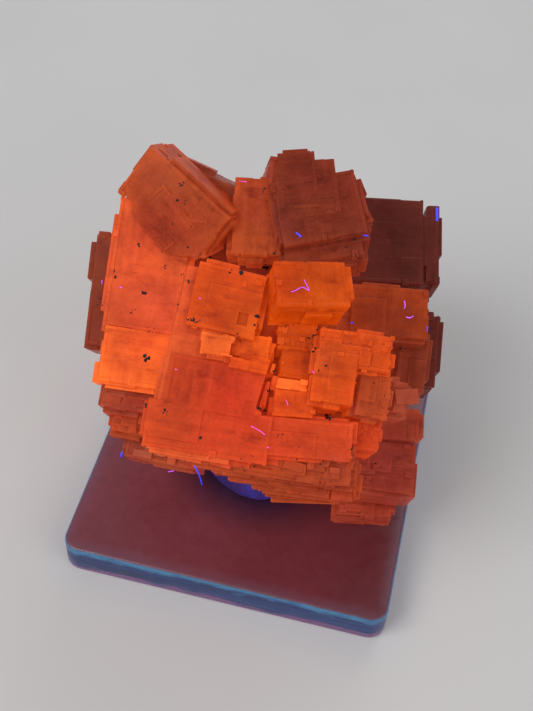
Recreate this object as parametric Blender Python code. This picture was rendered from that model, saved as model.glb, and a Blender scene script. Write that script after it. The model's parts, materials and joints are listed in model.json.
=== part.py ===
"""Halite display specimen.

A cluster of intergrown salt cubes is pressed into a blob of putty on a square acrylic base.
The base's underside is at Z = 0, its middle is at X = Y = 0, and its front edge faces -Y.
"""

import math
import random
from collections import namedtuple

import bmesh
import bpy
from mathutils import Matrix, Vector

MM = 0.001
WELD = 0.002 * MM

# Acrylic base
BASE_SIDE = 50.8 * MM
BASE_THICKNESS = 6.0 * MM
BASE_CORNER_RADIUS = 3.5 * MM
BASE_CORNER_STEPS = 8
BASE_EDGE_BEVEL = 0.35 * MM

# Mounting putty
PUTTY_CENTRE = Vector((0.5, 0.8)) * MM
PUTTY_FOOT_RADIUS = 10.6 * MM
PUTTY_HEIGHT = 8.5 * MM
PUTTY_SIDES = 28
PUTTY_LUMP = 0.5 * MM
# Lumps round the blob: how many, how strong, and where they start in radians
PUTTY_LUMPS = ((3, 1.0, 0.6), (5, 0.6, 2.0))
# Outline of the blob, foot to top: share of the foot radius, share of the height
PUTTY_OUTLINE = ((0.94, 0.0), (1.0, 0.12), (0.99, 0.3), (0.92, 0.55), (0.84, 0.8), (0.74, 0.94), (0.0, 1.0))
TOUCH_GAP = 0.3 * MM

# Cluster: crystals are laid out as seen from the show side, across, up and out from its middle
CLUSTER_CENTRE = Vector((0.25, 2.0, 34.4)) * MM
SHOW_AZIMUTH = math.radians(10.6)
SHOW_ELEVATION = math.radians(50.2)
SHOW_ROLL = math.radians(3.8)

# Growth steps on every crystal
GROWTH_SEED = 3
LEDGE_INSET = 0.45 * MM
LEDGE_RISE = (0.1 * MM, 0.45 * MM)
LEDGE_SETBACK = (0.2 * MM, 1.6 * MM)
LEDGE_DEPTH = (0.35, 0.9)
LEDGE_SPAN = (0.25, 0.75)
TERRACE_RISE = (0.1 * MM, 0.3 * MM)
TERRACE_ROOT = 1.5 * MM
TERRACE_SPAN = (0.35, 0.8)
TERRACE_PROUD = 0.05 * MM

HALITE_COLOUR = (0.80, 0.24, 0.06, 1.0)
HALITE_ROUGHNESS = 0.35
PUTTY_COLOUR = (0.05, 0.02, 0.16, 1.0)
PUTTY_ROUGHNESS = 0.6
ACRYLIC_COLOUR = (0.34, 0.13, 0.13, 1.0)
ACRYLIC_ROUGHNESS = 0.25

# face: middle of the front face, in mm across, up and out
# size: mm wide, tall and deep behind that face
# turn: degrees of roll in the face's plane, then pitch upwards, then yaw to the right
# steps: ledges round the sides, then terraces on the faces, the front one first
Crystal = namedtuple("Crystal", "name face size turn steps")

TOP_CRYSTALS = (
    Crystal("shoulder_left", (-13.5, 16.75, 10.5), (15.25, 8.5, 8.5), (-40, -14, -15), (6, 0)),
    Crystal("shoulder_left_foot", (-15.0, 14.8, 9.66), (8.0, 7.0, 12.0), (-52, -14, -15), (4, 0)),
    Crystal("shoulder_left_sill", (-12.1, 12.3, 9.74), (7.1, 6.0, 10.0), (-4, -14, -15), (3, 0)),
    Crystal("shoulder_left_back", (-10.0, 19.35, 6.5), (12.75, 5.25, 9.0), (-24, -10, -6), (6, 2)),
    Crystal("saddle", (-2.0, 15.25, 9.0), (7.6, 11.5, 14.0), (-3, 6, 0), (4, 0)),
    Crystal("saddle_foot", (-2.5, 11.0, 9.55), (4.5, 3.25, 10.0), (-2, 6, 0), (3, 0)),
    Crystal("crown", (6.35, 16.2, 11.0), (12.2, 10.2, 11.0), (11, 18, 0), (6, 0)),
    Crystal("crown_rise", (4.7, 19.0, 10.15), (9.2, 9.2, 10.5), (5, 18, 0), (4, 0)),
    Crystal("crown_top", (3.5, 20.1, 9.85), (5.9, 9.3, 10.0), (4, 18, 0), (4, 0)),
    Crystal("crown_corner", (0.6, 21.5, 9.0), (2.75, 4.75, 8.0), (-4, 12, 10), (3, 0)),
    Crystal("crown_sill", (6.9, 10.3, 11.4), (11.5, 3.2, 8.0), (8, 18, 0), (4, 0)),
    Crystal("crown_flank", (10.8, 17.2, 9.8), (4.5, 8.0, 9.0), (20, 14, 4), (4, 0)),
    Crystal("shoulder_right", (16.5, 12.95, 0.0), (12.0, 13.4, 14.0), (-2, 10, 4), (6, 0)),
    Crystal("shoulder_right_rim", (23.5, 12.5, -1.0), (2.5, 12.0, 12.0), (-2, 10, 0), (4, 0)),
    Crystal("shoulder_right_root", (14.0, 9.75, 0.5), (7.0, 7.25, 10.0), (-2, 8, 4), (4, 0)),
)

SIDE_CRYSTALS = (
    Crystal("lookout", (5.0, 5.25, 19.5), (10.25, 7.0, 6.5), (5, 20, 12), (3, 0)),
    Crystal("right_shelf", (16.4, 2.25, 6.0), (11.6, 7.75, 14.0), (-4, 8, 4), (5, 1)),
    Crystal("right_flank", (20.2, -4.9, 2.0), (4.8, 9.4, 14.0), (-8, 10, 0), (4, 1)),
    Crystal("right_flank_back", (23.2, -3.2, -4.0), (3.8, 11.6, 12.0), (-6, 10, 0), (5, 1)),
    Crystal("left_wall", (-17.2, 8.5, 8.6), (10.9, 18.75, 16.0), (-8, 3, 0), (8, 0)),
    Crystal("left_edge", (-24.5, 5.5, 3.0), (3.75, 16.5, 14.0), (-6, 4, 0), (7, 1)),
    Crystal("left_block", (-18.35, -4.25, 9.3), (11.2, 8.5, 16.0), (-8, 5, 2), (6, 0)),
    Crystal("left_step", (-19.3, -9.5, 7.0), (9.6, 5.0, 14.0), (-9, 8, 2), (5, 1)),
    Crystal("left_foot", (-19.8, -13.0, 4.5), (6.4, 4.75, 12.0), (-11, 8, 2), (5, 0)),
    Crystal("left_toe", (-15.5, -17.25, 1.0), (12.0, 5.5, 9.0), (-11, 10, 0), (6, 0)),
)

FRONT_CRYSTALS = (
    Crystal("front_wall", (-9.75, -4.75, 17.2), (9.0, 25.25, 18.0), (-12, 6, 2), (6, 0)),
    Crystal("brow", (-6.0, 3.25, 17.1), (9.75, 9.25, 18.0), (-13, 6, 3), (7, 2)),
    Crystal("light_shelf", (-7.25, -2.5, 17.9), (5.0, 3.5, 14.0), (-8, 6, 3), (3, 0)),
    Crystal("dark_shelf", (-3.0, -2.75, 16.6), (6.0, 4.0, 14.0), (-9, 6, 3), (3, 0)),
    Crystal("chest", (-7.5, -8.0, 17.75), (13.25, 7.25, 16.0), (-11, 6, 2), (6, 2)),
    Crystal("chest_rim", (-3.0, -5.25, 17.9), (6.0, 2.25, 12.0), (-12, 6, 2), (3, 0)),
    Crystal("bench_left", (-8.5, -13.75, 18.3), (17.0, 7.0, 16.0), (-9, 6, 1), (6, 1)),
    Crystal("bench_right", (4.5, -14.75, 18.0), (12.25, 5.75, 16.0), (-5, 6, 0), (6, 1)),
    Crystal("skirt_upper", (-0.5, -17.25, 17.0), (22.6, 4.75, 13.0), (-9, 8, 0), (6, 0)),
    Crystal("skirt_middle", (1.6, -18.5, 15.0), (19.8, 5.0, 13.0), (-8, 8, 0), (6, 0)),
    Crystal("skirt_lower", (4.35, -20.35, 12.7), (14.8, 5.0, 13.0), (-7, 8, 0), (6, 0)),
    Crystal("skirt_hem", (5.25, -21.75, 10.2), (13.0, 4.0, 11.0), (-2, 8, 0), (7, 0)),
)

INNER_CRYSTALS = (
    Crystal("recess", (3.25, -1.5, 15.4), (5.75, 4.25, 12.0), (-4, 8, 2), (2, 0)),
    Crystal("dark_cube", (3.25, -5.0, 15.6), (5.25, 5.0, 12.0), (-8, 8, 2), (3, 0)),
    Crystal("bright_cube", (2.75, -10.25, 17.5), (6.0, 4.25, 12.0), (-5, 8, 2), (3, 1)),
    Crystal("bright_cube_rim", (2.5, -7.75, 16.9), (4.75, 2.25, 12.0), (-8, 8, 2), (2, 0)),
    Crystal("middle_cube", (8.0, -6.75, 17.9), (6.25, 7.5, 12.0), (-8, 8, 3), (5, 1)),
    Crystal("ribbed_shelf", (10.75, -3.25, 16.9), (10.25, 5.5, 12.0), (-8, 8, 4), (6, 1)),
    Crystal("small_cube", (13.25, -9.25, 15.6), (5.0, 6.5, 12.0), (-10, 8, 5), (4, 1)),
    Crystal("outer_cube", (17.0, -9.5, 12.5), (3.0, 5.0, 10.0), (-8, 8, 8), (4, 0)),
    Crystal("crumb_cube", (12.25, -14.75, 13.5), (4.5, 4.5, 12.0), (-8, 10, 2), (3, 0)),
)

LOW_CRYSTALS = (
    Crystal("right_leg_upper", (18.5, -14.0, -1.0), (7.0, 5.5, 10.0), (-4, 16, 4), (5, 1)),
    Crystal("right_leg_lower", (16.0, -20.0, 0.0), (10.5, 8.0, 9.0), (-7, 18, 4), (7, 2)),
    Crystal("right_heel", (14.0, -27.0, -6.0), (9.0, 3.0, 5.0), (-4, 24, 0), (5, 0)),
)

BACK_CRYSTALS = (
    Crystal("back_top_left", (-11.0, 12.0, -6.0), (12.0, 11.0, 12.0), (-24, 4, -6), (4, 2)),
    Crystal("back_top", (1.0, 14.0, -8.0), (12.0, 12.0, 13.0), (-4, -6, 4), (4, 2)),
    Crystal("back_top_right", (13.0, 12.0, -7.0), (11.0, 11.0, 11.0), (8, 4, 10), (4, 2)),
    Crystal("back_left", (-15.0, 1.0, -8.0), (12.0, 12.0, 11.0), (-8, 8, -8), (4, 2)),
    Crystal("back_middle", (-2.0, 2.0, -13.0), (13.0, 12.0, 11.0), (12, -4, 0), (4, 2)),
    Crystal("back_right", (12.0, 1.0, -10.0), (12.0, 12.0, 12.0), (-6, 6, 8), (4, 2)),
    Crystal("back_low_left", (-11.0, -11.0, -7.0), (12.0, 10.0, 9.0), (-12, 8, -4), (4, 2)),
    Crystal("back_low", (1.0, -10.0, -9.0), (12.0, 11.0, 10.0), (6, 4, 0), (4, 2)),
    Crystal("back_low_right", (12.0, -11.0, -8.0), (11.0, 10.0, 9.0), (-6, 8, 6), (4, 2)),
)

BACK_KNOBS = (
    Crystal("knob_upper_left", (-5.0, 8.0, -17.0), (7.0, 7.0, 7.0), (-18, -8, 10), (3, 2)),
    Crystal("knob_upper_right", (7.0, 8.0, -16.0), (6.0, 7.0, 7.0), (14, 4, -8), (3, 2)),
    Crystal("knob_left", (-9.0, -4.0, -15.0), (7.0, 6.0, 7.0), (5, -6, -12), (3, 2)),
    Crystal("knob_right", (6.0, -4.0, -17.0), (7.0, 7.0, 7.0), (-20, 6, 6), (3, 2)),
    Crystal("knob_low", (-4.0, -11.0, -15.0), (6.0, 6.0, 5.0), (-6, 4, -4), (3, 1)),
    Crystal("knob_far_right", (16.0, 7.0, -11.0), (6.0, 6.0, 8.0), (10, 0, 14), (3, 2)),
    Crystal("knob_far_left", (-19.0, 7.0, -8.0), (6.0, 6.0, 9.0), (-14, 4, -10), (3, 2)),
    Crystal("knob_top", (-3.0, 19.0, -7.0), (8.0, 6.0, 9.0), (10, -10, -10), (3, 2)),
    Crystal("knob_top_right", (8.0, 19.0, -5.0), (7.0, 6.0, 9.0), (-6, -4, 6), (3, 1)),
    Crystal("knob_flank", (18.0, -7.0, -10.0), (6.0, 6.0, 7.0), (-12, 6, 12), (3, 2)),
)

CORE_CRYSTALS = (
    Crystal("core", (-2.0, -5.0, 8.0), (26.0, 22.0, 22.0), (-8, 8, 4), (0, 0)),
    Crystal("core_top", (-1.0, 8.0, 2.0), (22.0, 14.0, 17.0), (-4, 6, 2), (0, 0)),
)

CLUSTER_CRYSTALS = (TOP_CRYSTALS + SIDE_CRYSTALS + FRONT_CRYSTALS + INNER_CRYSTALS + LOW_CRYSTALS
                    + BACK_CRYSTALS + BACK_KNOBS + CORE_CRYSTALS)


def clear_scene():
    """Remove whatever objects the scene starts with."""
    for item in list(bpy.data.objects):
        bpy.data.objects.remove(item, do_unlink=True)


def plain_material(name, colour, roughness):
    """Return a Principled material with one colour and no metal in it."""
    material = bpy.data.materials.new(name)
    material.use_nodes = True
    material.diffuse_color = colour
    shader = material.node_tree.nodes["Principled BSDF"]
    shader.inputs["Base Color"].default_value = colour
    shader.inputs["Roughness"].default_value = roughness
    shader.inputs["Metallic"].default_value = 0.0
    return material


def object_from(bm, name):
    """Turn a bmesh into an object of the scene."""
    mesh = bpy.data.meshes.new(name)
    bm.to_mesh(mesh)
    bm.free()
    item = bpy.data.objects.new(name, mesh)
    bpy.context.scene.collection.objects.link(item)
    return item


def evaluated_bmesh(item):
    """Return an object's mesh with its modifiers worked out."""
    graph = bpy.context.evaluated_depsgraph_get()
    bm = bmesh.new()
    bm.from_object(item, graph)
    return bm


def islands(bm):
    """Return the mesh's separate shells, each as a list of vertices."""
    left = set(bm.verts)
    shells = []
    while left:
        front = [left.pop()]
        shell = []
        while front:
            vert = front.pop()
            shell.append(vert)
            for edge in vert.link_edges:
                other = edge.other_vert(vert)
                if other in left:
                    left.remove(other)
                    front.append(other)
        shells.append(shell)
    return shells


def keep_largest_shell(bm):
    """Delete the skins of pockets that the joined blocks close off, and loose crumbs."""
    shells = sorted(islands(bm), key=len)
    for shell in shells[:-1]:
        bmesh.ops.delete(bm, geom=shell, context="VERTS")


def combine(item, operand, operation, within=False):
    """Join or cut an object with another and return the result as a bmesh."""
    modifier = item.modifiers.new("combine", "BOOLEAN")
    modifier.operation = operation
    modifier.object = operand
    modifier.use_self = within
    bm = evaluated_bmesh(item)
    for used in (item, operand):
        bpy.data.objects.remove(used, do_unlink=True)
    keep_largest_shell(bm)
    bmesh.ops.remove_doubles(bm, verts=bm.verts, dist=WELD)
    return bm


def show_side():
    """Return the turn from across, up and out to the model's axes."""
    lean = math.pi / 2 - SHOW_ELEVATION
    return (Matrix.Rotation(SHOW_AZIMUTH, 4, "Z") @ Matrix.Rotation(lean, 4, "X")
            @ Matrix.Rotation(SHOW_ROLL, 4, "Z"))


def crystal_frame(crystal):
    """Return the frame of a crystal, with its origin in the middle of its front face."""
    roll, pitch, yaw = (math.radians(angle) for angle in crystal.turn)
    turn = (Matrix.Rotation(-pitch, 4, "X") @ Matrix.Rotation(yaw, 4, "Y")
            @ Matrix.Rotation(roll, 4, "Z"))
    place = Matrix.Translation(Vector(crystal.face) * MM)
    return Matrix.Translation(CLUSTER_CENTRE) @ show_side() @ place @ turn


def side_ledge(rng, half, deep, side):
    """Return a block that stands out of one side of a crystal over part of its length."""
    across, sign = side
    along = 1 - across
    span = rng.uniform(*LEDGE_SPAN) * 2 * half[along]
    reach = half[across] + rng.uniform(*LEDGE_RISE)
    start, end = Vector(), Vector()
    start[across], end[across] = sorted((0.0, sign * reach))
    start[along] = rng.uniform(-half[along], half[along] - span)
    end[along] = start[along] + span
    start.z = -deep * rng.uniform(*LEDGE_DEPTH)
    end.z = -rng.uniform(*LEDGE_SETBACK)
    return start, end


def terrace(rng, low, high, face):
    """Return a low plate that grew in from a corner of one face of a crystal."""
    normal, sign = face
    start, end = Vector(), Vector()
    for axis in range(3):
        span = rng.uniform(*TERRACE_SPAN) * (high[axis] - low[axis])
        if rng.random() < 0.5:
            start[axis], end[axis] = low[axis] - TERRACE_PROUD, low[axis] + span
        else:
            start[axis], end[axis] = high[axis] - span, high[axis] + TERRACE_PROUD
    surface = high[normal] if sign > 0 else low[normal]
    rise = rng.uniform(*TERRACE_RISE)
    start[normal], end[normal] = sorted((surface - sign * TERRACE_ROOT, surface + sign * rise))
    return start, end


def crystal_blocks(crystal):
    """Return the low and high corners of the blocks of one stepped crystal, in its own frame."""
    rng = random.Random(f"{crystal.name} {GROWTH_SEED}")
    wide, tall, deep = (length * MM for length in crystal.size)
    ledges, terraces = crystal.steps
    inset = LEDGE_INSET if ledges else 0.0
    low = Vector((inset - wide / 2, inset - tall / 2, -deep))
    high = Vector((wide / 2 - inset, tall / 2 - inset, 0.0))
    blocks = [(low, high)]
    sides = [(0, -1), (0, 1), (1, -1), (1, 1)]
    rng.shuffle(sides)
    for number in range(ledges):
        blocks.append(side_ledge(rng, (wide / 2, tall / 2), deep, sides[number % len(sides)]))
    faces = [(2, 1), (2, -1)] + sides
    for number in range(terraces):
        blocks.append(terrace(rng, low, high, faces[number % len(faces)]))
    return blocks


def blocks_object(name, crystals, grow=0.0):
    """Return one object that holds every block of the crystals, each grown by a margin."""
    bm = bmesh.new()
    for crystal in crystals:
        frame = crystal_frame(crystal)
        for low, high in crystal_blocks(crystal):
            middle = Matrix.Translation((low + high) / 2)
            size = high - low + Vector((2, 2, 2)) * grow
            bmesh.ops.create_cube(bm, size=1.0, matrix=frame @ middle @ Matrix.Diagonal((*size, 1.0)))
    return object_from(bm, name)


def fused(name, crystals, grow=0.0):
    """Return the crystals joined into one outer skin, as a bmesh."""
    seed = blocks_object(name + "_seed", crystals[-1:], grow)
    rest = blocks_object(name + "_rest", crystals[:-1], grow)
    return combine(seed, rest, "UNION", within=True)


def make_cluster():
    """Build the cluster of intergrown crystals."""
    cluster = object_from(fused("crystals", CLUSTER_CRYSTALS), "halite_cluster")
    cluster.data.materials.append(plain_material("halite", HALITE_COLOUR, HALITE_ROUGHNESS))


def rise_of(edge):
    """Return the height that an edge climbs."""
    return abs(edge.verts[0].co.z - edge.verts[1].co.z)


def make_base():
    """Build the square acrylic base with rounded corners and softened edges."""
    bm = bmesh.new()
    bmesh.ops.create_cube(bm, size=1.0, matrix=Matrix.Translation((0, 0, BASE_THICKNESS / 2))
                          @ Matrix.Diagonal((BASE_SIDE, BASE_SIDE, BASE_THICKNESS, 1.0)))
    uprights = [edge for edge in bm.edges if rise_of(edge) > BASE_THICKNESS / 2]
    bmesh.ops.bevel(bm, geom=uprights, offset=BASE_CORNER_RADIUS, segments=BASE_CORNER_STEPS,
                    profile=0.5, affect="EDGES", material=-1)
    rims = [edge for edge in bm.edges if rise_of(edge) < WELD]
    bmesh.ops.bevel(bm, geom=rims, offset=BASE_EDGE_BEVEL, segments=2,
                    profile=0.5, affect="EDGES", material=-1)
    base = object_from(bm, "acrylic_base")
    base.data.materials.append(plain_material("acrylic", ACRYLIC_COLOUR, ACRYLIC_ROUGHNESS))


def putty_blob():
    """Return the squashed lump of putty before the cluster is pressed into it."""
    bm = bmesh.new()
    profile = []
    for share, height in PUTTY_OUTLINE:
        z = BASE_THICKNESS + TOUCH_GAP + height * PUTTY_HEIGHT
        profile.append(bm.verts.new((share * PUTTY_FOOT_RADIUS, 0.0, z)))
    for lower, upper in zip(profile, profile[1:]):
        bm.edges.new((lower, upper))
    bmesh.ops.spin(bm, geom=bm.verts[:] + bm.edges[:], cent=(0, 0, 0), axis=(0, 0, 1),
                   angle=2 * math.pi, steps=PUTTY_SIDES, use_merge=True)
    bmesh.ops.remove_doubles(bm, verts=bm.verts, dist=WELD)
    rim = [edge for edge in bm.edges if edge.is_boundary]
    bmesh.ops.contextual_create(bm, geom=rim)
    for vert in bm.verts:
        angle = math.atan2(vert.co.y, vert.co.x)
        swell = sum(strength * math.sin(count * angle + start) for count, strength, start in PUTTY_LUMPS)
        outward = Vector((vert.co.x, vert.co.y, 0.0))
        if outward.length > MM:
            vert.co += outward.normalized() * swell * PUTTY_LUMP
    bmesh.ops.translate(bm, verts=bm.verts, vec=(*PUTTY_CENTRE, 0.0))
    bmesh.ops.recalc_face_normals(bm, faces=bm.faces)
    return object_from(bm, "putty_blob")


def lowest_point(crystal):
    """Return the height of the lowest corner of a crystal's blocks."""
    frame = crystal_frame(crystal)
    corners = [Vector((x, y, z)) for low, high in crystal_blocks(crystal)
               for x in (low.x, high.x) for y in (low.y, high.y) for z in (low.z, high.z)]
    return min((frame @ corner).z for corner in corners)


def make_putty():
    """Build the putty, pressed to the shape of the crystals above it."""
    top = BASE_THICKNESS + PUTTY_HEIGHT + PUTTY_LUMP
    low_crystals = [crystal for crystal in CLUSTER_CRYSTALS if lowest_point(crystal) < top]
    press = object_from(fused("press", low_crystals, TOUCH_GAP), "press")
    putty = object_from(combine(putty_blob(), press, "DIFFERENCE"), "mounting_putty")
    putty.data.materials.append(plain_material("putty", PUTTY_COLOUR, PUTTY_ROUGHNESS))


def main():
    clear_scene()
    make_base()
    make_cluster()
    make_putty()


if __name__ == "__main__":
    main()
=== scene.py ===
"""Halite display specimen: the finished look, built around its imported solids.

A cluster of intergrown orange salt cubes, held by a blob of putty on a square acrylic base.
Lengths are in metres unless a name or a comment says millimetres.
"""

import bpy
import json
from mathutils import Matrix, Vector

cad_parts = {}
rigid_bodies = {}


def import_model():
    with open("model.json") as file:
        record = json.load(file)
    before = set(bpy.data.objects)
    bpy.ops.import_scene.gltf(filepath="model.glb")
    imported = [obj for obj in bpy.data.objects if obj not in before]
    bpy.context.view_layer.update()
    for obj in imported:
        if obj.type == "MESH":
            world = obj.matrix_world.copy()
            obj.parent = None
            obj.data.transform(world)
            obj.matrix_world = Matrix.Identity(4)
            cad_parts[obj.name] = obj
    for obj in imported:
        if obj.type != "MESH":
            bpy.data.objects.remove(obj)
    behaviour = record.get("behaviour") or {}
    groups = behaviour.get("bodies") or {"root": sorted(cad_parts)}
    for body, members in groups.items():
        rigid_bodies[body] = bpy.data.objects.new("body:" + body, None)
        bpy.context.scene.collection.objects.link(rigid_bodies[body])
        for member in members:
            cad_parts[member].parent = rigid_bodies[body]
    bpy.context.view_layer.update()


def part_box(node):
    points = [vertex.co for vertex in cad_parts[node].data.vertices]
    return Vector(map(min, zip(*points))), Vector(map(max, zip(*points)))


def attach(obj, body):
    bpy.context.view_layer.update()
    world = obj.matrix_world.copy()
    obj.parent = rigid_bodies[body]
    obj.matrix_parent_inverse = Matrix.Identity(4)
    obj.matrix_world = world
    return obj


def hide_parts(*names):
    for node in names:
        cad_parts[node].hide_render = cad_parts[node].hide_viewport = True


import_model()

import json
import math
import random
from collections import namedtuple

import bmesh
import bpy
import numpy as np
from mathutils import Matrix, Vector
from mathutils import noise as wave
from mathutils.bvhtree import BVHTree

bl_info = {
    "name": "Halite display specimen",
    "version": (1, 0, 0),
    "blender": (4, 5, 0),
    "location": "3D View > Sidebar > Halite",
    "description": "Builds a halite cluster on its display base, and a plain stage for it",
    "category": "Object",
}

MM = 0.001
WELD = 0.001 * MM

# The picture: its size and the lens in pixels
PICTURE_WIDE, PICTURE_TALL = 533, 711
FOCAL_PIXELS = 1088.0
SENSOR_LONG_SIDE = 36.0

# Where the cluster sits and how the picture looks at it
CLUSTER_CENTRE = Vector((0.25, 2.0, 34.4)) * MM
SHOW_AZIMUTH = math.radians(10.6)
SHOW_ELEVATION = math.radians(50.2)
SHOW_ROLL = math.radians(3.8)
# The eye, across, up and out from the cluster's middle
EYE = Vector((-0.84, -3.93, 158.9)) * MM

# Growth steps on every crystal, in the same order of draws as the solids
GROWTH_SEED = 3
LEDGE_INSET = 0.45 * MM
LEDGE_RISE = (0.1 * MM, 0.45 * MM)
LEDGE_SETBACK = (0.2 * MM, 1.6 * MM)
LEDGE_DEPTH = (0.35, 0.9)
LEDGE_SPAN = (0.25, 0.75)
TERRACE_RISE = (0.1 * MM, 0.3 * MM)
TERRACE_ROOT = 1.5 * MM
TERRACE_SPAN = (0.35, 0.8)
TERRACE_PROUD = 0.05 * MM
TOUCH_GAP = 0.3 * MM

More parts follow.
